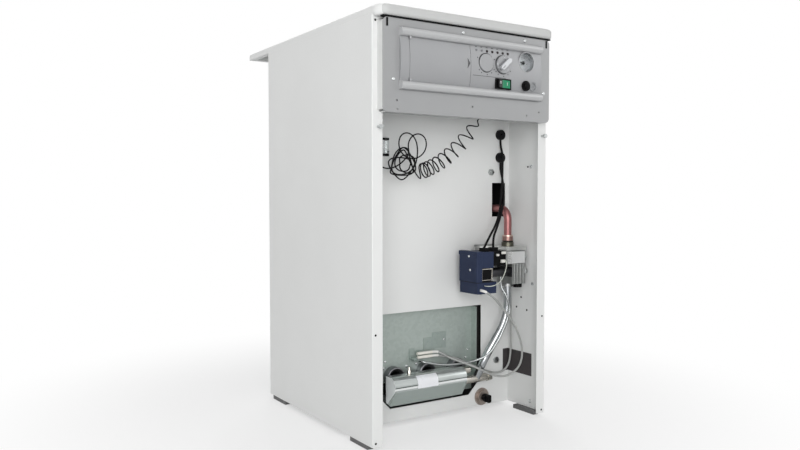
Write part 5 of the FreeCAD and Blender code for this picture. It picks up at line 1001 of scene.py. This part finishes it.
fit(pointer, grey_ink, "temperature_knob")

# Gauge. A pressed case with a silvered dial, deep behind clear glass and inside a wall that is painted a
# darker grey as painted shade. Its black scale has a tick for each ten degrees and a number for each
# twenty. The needle is black enamel, with a turned hub, and a plated ring trims the edge.
SHADED_CASE_WALL = (-337.2, -326.4)
BEZEL_RADIUS = 22
BEZEL_THICK = 0.9
BESIDE_BEZEL = 2
HUB_RADIUS = 4.2
HUB_LENGTH = 1.6
HUB_BEVEL = 0.5
HUB_BACK = -17.4
GAUGE_MIDDLE = (143.5, 786.5)
SCALE_START = -30
SCALE_SPAN = 220
SCALE_STEPS = 12
DEGREES_A_STEP = 10
TICK_RING = 16.6
TICK_WIDTH = 0.5
TICK_LENGTHS = (3.0, 1.8)
NUMBER_RING = 12.3
NUMBER_SIZE = 3.2
DIAL_FACE = -15.1
silvered_dial = surface(
    "silvered_dial", "#BFC0C2", "#B0B1B4", patch=10, grain=0.5, relief=0.004, roughness=0.3, edge=0.3,
    worn="#DADBDD", Metallic=0.4)
# Painted shade: the case's wall round the dial is painted a darker grey.
recolour(silvered_dial, "#A2A3A6", Y=SHADED_CASE_WALL)
wears(silvered_dial, "gauge_case")
black_enamel = surface(
    "black_enamel", "#18181A", "#121214", patch=6, grain=0.5, relief=0.004, roughness=0.35,
    Specular_IOR_Level=0.2)
wears(black_enamel, "gauge_needle")
hub_middle = in_frame((GAUGE_MIDDLE[0], HUB_BACK - HUB_LENGTH/2, GAUGE_MIDDLE[1]))
hub = add_part("needle_hub", "cylinder", vertices=32, radius=HUB_RADIUS*MM, depth=HUB_LENGTH*MM,
               location=hub_middle, rotation=(math.pi/2, 0, 0))
use_modifier(hub, "BEVEL", width=HUB_BEVEL*MM, segments=3, limit_method="ANGLE")
fit(hub, black_enamel, "gauge_needle")
clear_glass = surface(
    "clear_gauge_glass", "#FAFCFC", "#F6F9F9", patch=40, grain=6, relief=0.002, roughness=0.02,
    uneven=0.01, Transmission_Weight=1.0, IOR=1.15)
wears(clear_glass, "gauge_glass")
rim_depth, _ = front_of("console_frame", GAUGE_MIDDLE[0] + BEZEL_RADIUS + BESIDE_BEZEL, GAUGE_MIDDLE[1])
bezel = add_part("gauge_bezel", "torus", major_segments=72, minor_segments=10, major_radius=BEZEL_RADIUS*MM,
                 minor_radius=BEZEL_THICK*MM, rotation=(math.pi/2, 0, 0))
use_modifier(bezel, "SUBSURF", levels=1, render_levels=1)
bezel.location = in_frame((GAUGE_MIDDLE[0], rim_depth, GAUGE_MIDDLE[1]))
fit(bezel, plated_abs)
marks = []
for step in range(SCALE_STEPS + 1):
    turn = math.radians(SCALE_START + SCALE_SPAN*step/SCALE_STEPS)
    out = Vector((-math.cos(turn), math.sin(turn)))
    spot = Vector(GAUGE_MIDDLE) + out*TICK_RING
    tick = ink_film("plane", *spot, "gauge_case", TICK_WIDTH, TICK_LENGTHS[step % 2], size=1)
    tick.rotation_euler = (math.pi/2, turn - math.pi/2, 0)
    marks.append(tick)
    if step % 2 == 0:
        across, up = Vector(GAUGE_MIDDLE) + out*NUMBER_RING
        bpy.ops.object.select_all(action="DESELECT")
        bpy.ops.object.text_add(location=in_frame((across, DIAL_FACE, up)), rotation=(math.pi/2, 0, 0))
        number = bpy.context.object
        number.data.body = str(step*DEGREES_A_STEP)
        number.data.size = NUMBER_SIZE*MM
        number.data.extrude = 0.5*INK*MM
        number.data.resolution_u = 3
        number.data.align_x = "CENTER"
        number.data.align_y = "CENTER"
        bpy.ops.object.convert(target="MESH")
        marks.append(bpy.context.object)
fit(join_parts("gauge_scale", marks), black_enamel)

# Switch. A black nylon bezel and rocker, whose right half is a clear green lens over a neon lamp, with
# a plain ring for off and a bar for on printed in white.
GREEN_LENS = (73.2, 97)
ON_BAR = (88, 735)
BAR_SIZE = (1.1, 6.5)
OFF_RING = (67, 737)
OFF_RADIUS = 2.4
OFF_THICK = 0.5
OFF_FLAT = 0.3
white_ink = surface(
    "white_pad_print", "#E6E6E6", "#DCDCDC", patch=4, grain=0.3, relief=0.004, roughness=0.5)
wears(black_nylon, "switch_housing")
rocker_plastic = surface(
    "rocker_plastic", "#161617", "#0F0F10", patch=5, grain=0.8, relief=0.01, roughness=0.25, edge=0.5,
    worn="#2C2C2E", Specular_IOR_Level=0.3)
recolour(rocker_plastic, "#128058", X=GREEN_LENS)
wears(rocker_plastic, "switch_rocker")
bar = ink_film("plane", *ON_BAR, "switch_rocker", *BAR_SIZE, size=1)
bar.name = "rocker_on_bar"
fit(bar, white_ink, "switch_rocker")
depth, normal = front_of("switch_rocker", *OFF_RING)
ring = flat_ring("rocker_off_ring", 24, 6, OFF_RADIUS, OFF_THICK, OFF_FLAT)
ring.rotation_euler = normal.to_track_quat("Z", "Y").to_euler()
ring.location = in_frame((OFF_RING[0], depth, OFF_RING[1]))
fit(ring, white_ink, "switch_rocker")

# Safety thermostat, fuse holder and indicator lamps. Black and grey nylon, and lenses of acrylic: two
# are clear, the other five are smoked and sit in rubber rings.
SMOKED_LENSES = (28, 100)
LAMP_HEIGHT = 799.5
CLEAR_LENSES = 2
LENS_RADIUS = 2.4
LENS_RING = 0.65
wears(black_nylon, "safety_thermostat", "reset_button")
grey_nylon = surface(
    "moulded_grey_nylon", "#9A9C9E", "#8C8E90", patch=8, grain=0.5, relief=0.01, roughness=0.45,
    edge=0.4, worn="#B4B6B8")
wears(grey_nylon, "fuse_holder")
lamp_acrylic = surface(
    "lamp_acrylic", "#86878A", "#7A7B7E", patch=3, grain=0.6, relief=0.002, roughness=0.14,
    Specular_IOR_Level=0.3)
recolour(lamp_acrylic, "#2B2323", X=SMOKED_LENSES)
wears(lamp_acrylic, "indicator_lamps")
rings = []
for lamp in range(CLEAR_LENSES, LAMP_COUNT):
    x = LAMP_START + lamp*LAMP_PITCH
    depth, normal = front_of("console_frame", x + 2*LENS_RADIUS, LAMP_HEIGHT)
    ring = add_part("lamp_ring", "torus", major_segments=28, minor_segments=8, major_radius=LENS_RADIUS*MM,
                    minor_radius=LENS_RING*MM)
    ring.rotation_euler = normal.to_track_quat("Z", "Y").to_euler()
    ring.location = in_frame((x, depth, LAMP_HEIGHT))
    rings.append(ring)
fit(join_parts("lamp_rings", rings), moulded_rubber)

# Sensor cord. A thin black PVC lead, curled below the control box, then left as a loose hank that
# hangs by its last loop and goes into the grommet behind the left flange.
CURL_AXIS = [Vector((58, 30, 664)), Vector((15, 61, 576)), Vector((-62, 68, 551))]
CURL_RADIUS = 16
CURL_GATHER = 1.65
CURL_SWELL = 0.09
CURLS = 10
HANK_START = 66
HANK_STEP = 5.4
HANK_STRAY = 5
STRAY_ACROSS = 2.3
STRAY_UP = 1.7
HANK_LOOPS = [
    (-73, 601, 29, 27), (-92, 606, 30, 30), (-106, 566, 28, 31), (-96, 567, 21, 20), (-105, 557, 30, 23),
    (-94, 573, 20, 21), (-98, 555, 31, 21), (-142, 618, 44, 54)]
CORD_RADIUS = 1.4
POINTS_A_TURN = 16


def curl_spot(share):
    """A place on the curls, which ride on a bowed axis and crowd together towards its end."""
    start, knee, end = CURL_AXIS
    along = 1 - (1 - share)**CURL_GATHER
    centre = start*(1 - along)**2 + knee*(2*along*(1 - along)) + end*along**2
    heading = ((knee - start)*(1 - along) + (end - knee)*along).normalized()
    back = (Vector((0, 1, 0)) - heading*heading.y).normalized()
    reach = CURL_RADIUS*(1 - math.exp(-along/CURL_SWELL))
    turn = 2*math.pi*CURLS*share
    return centre + back*(reach*math.cos(turn)) + heading.cross(back)*(reach*math.sin(turn))


def hank_spot(turns):
    """A place on the loops, each of which has its own middle and size. The later ones stray from round."""
    ring = min(int(turns), len(HANK_LOOPS) - 2)
    share = min(turns - ring, 1)
    blend = share**2*(3 - 2*share)
    x, z, wide, high = [a*(1 - blend) + b*blend for a, b in zip(HANK_LOOPS[ring], HANK_LOOPS[ring + 1])]
    angle = math.pi - 2*math.pi*turns
    stray = HANK_STRAY*min(max(turns - 1, 0), 1)
    across = x + wide*math.cos(angle) + stray*math.sin(STRAY_ACROSS*angle)
    up = z + high*math.sin(angle) + stray*math.cos(STRAY_UP*angle)
    return Vector((across, HANK_START + HANK_STEP*turns, up))


SENSOR_CORD = [(66, 30, 673.2), (63, 30, 667)]
SENSOR_CORD += [curl_spot(n/(CURLS*POINTS_A_TURN)) for n in range(1, CURLS*POINTS_A_TURN + 1)]
SENSOR_CORD += [(-62, 74, 530), (-84, 66, 545), (-97, 65, 572)]
SENSOR_CORD += [hank_spot(n/POINTS_A_TURN) for n in range(POINTS_A_TURN*(len(HANK_LOOPS) - 1) + 1)]
SENSOR_CORD += [(-178, 113, 655), (-178, 125, 655)]
sensor_cord = run_cord("sensor_cord", SENSOR_CORD, CORD_RADIUS, black_pvc)
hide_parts("sensor_cord_curl", "sensor_cord_hank")
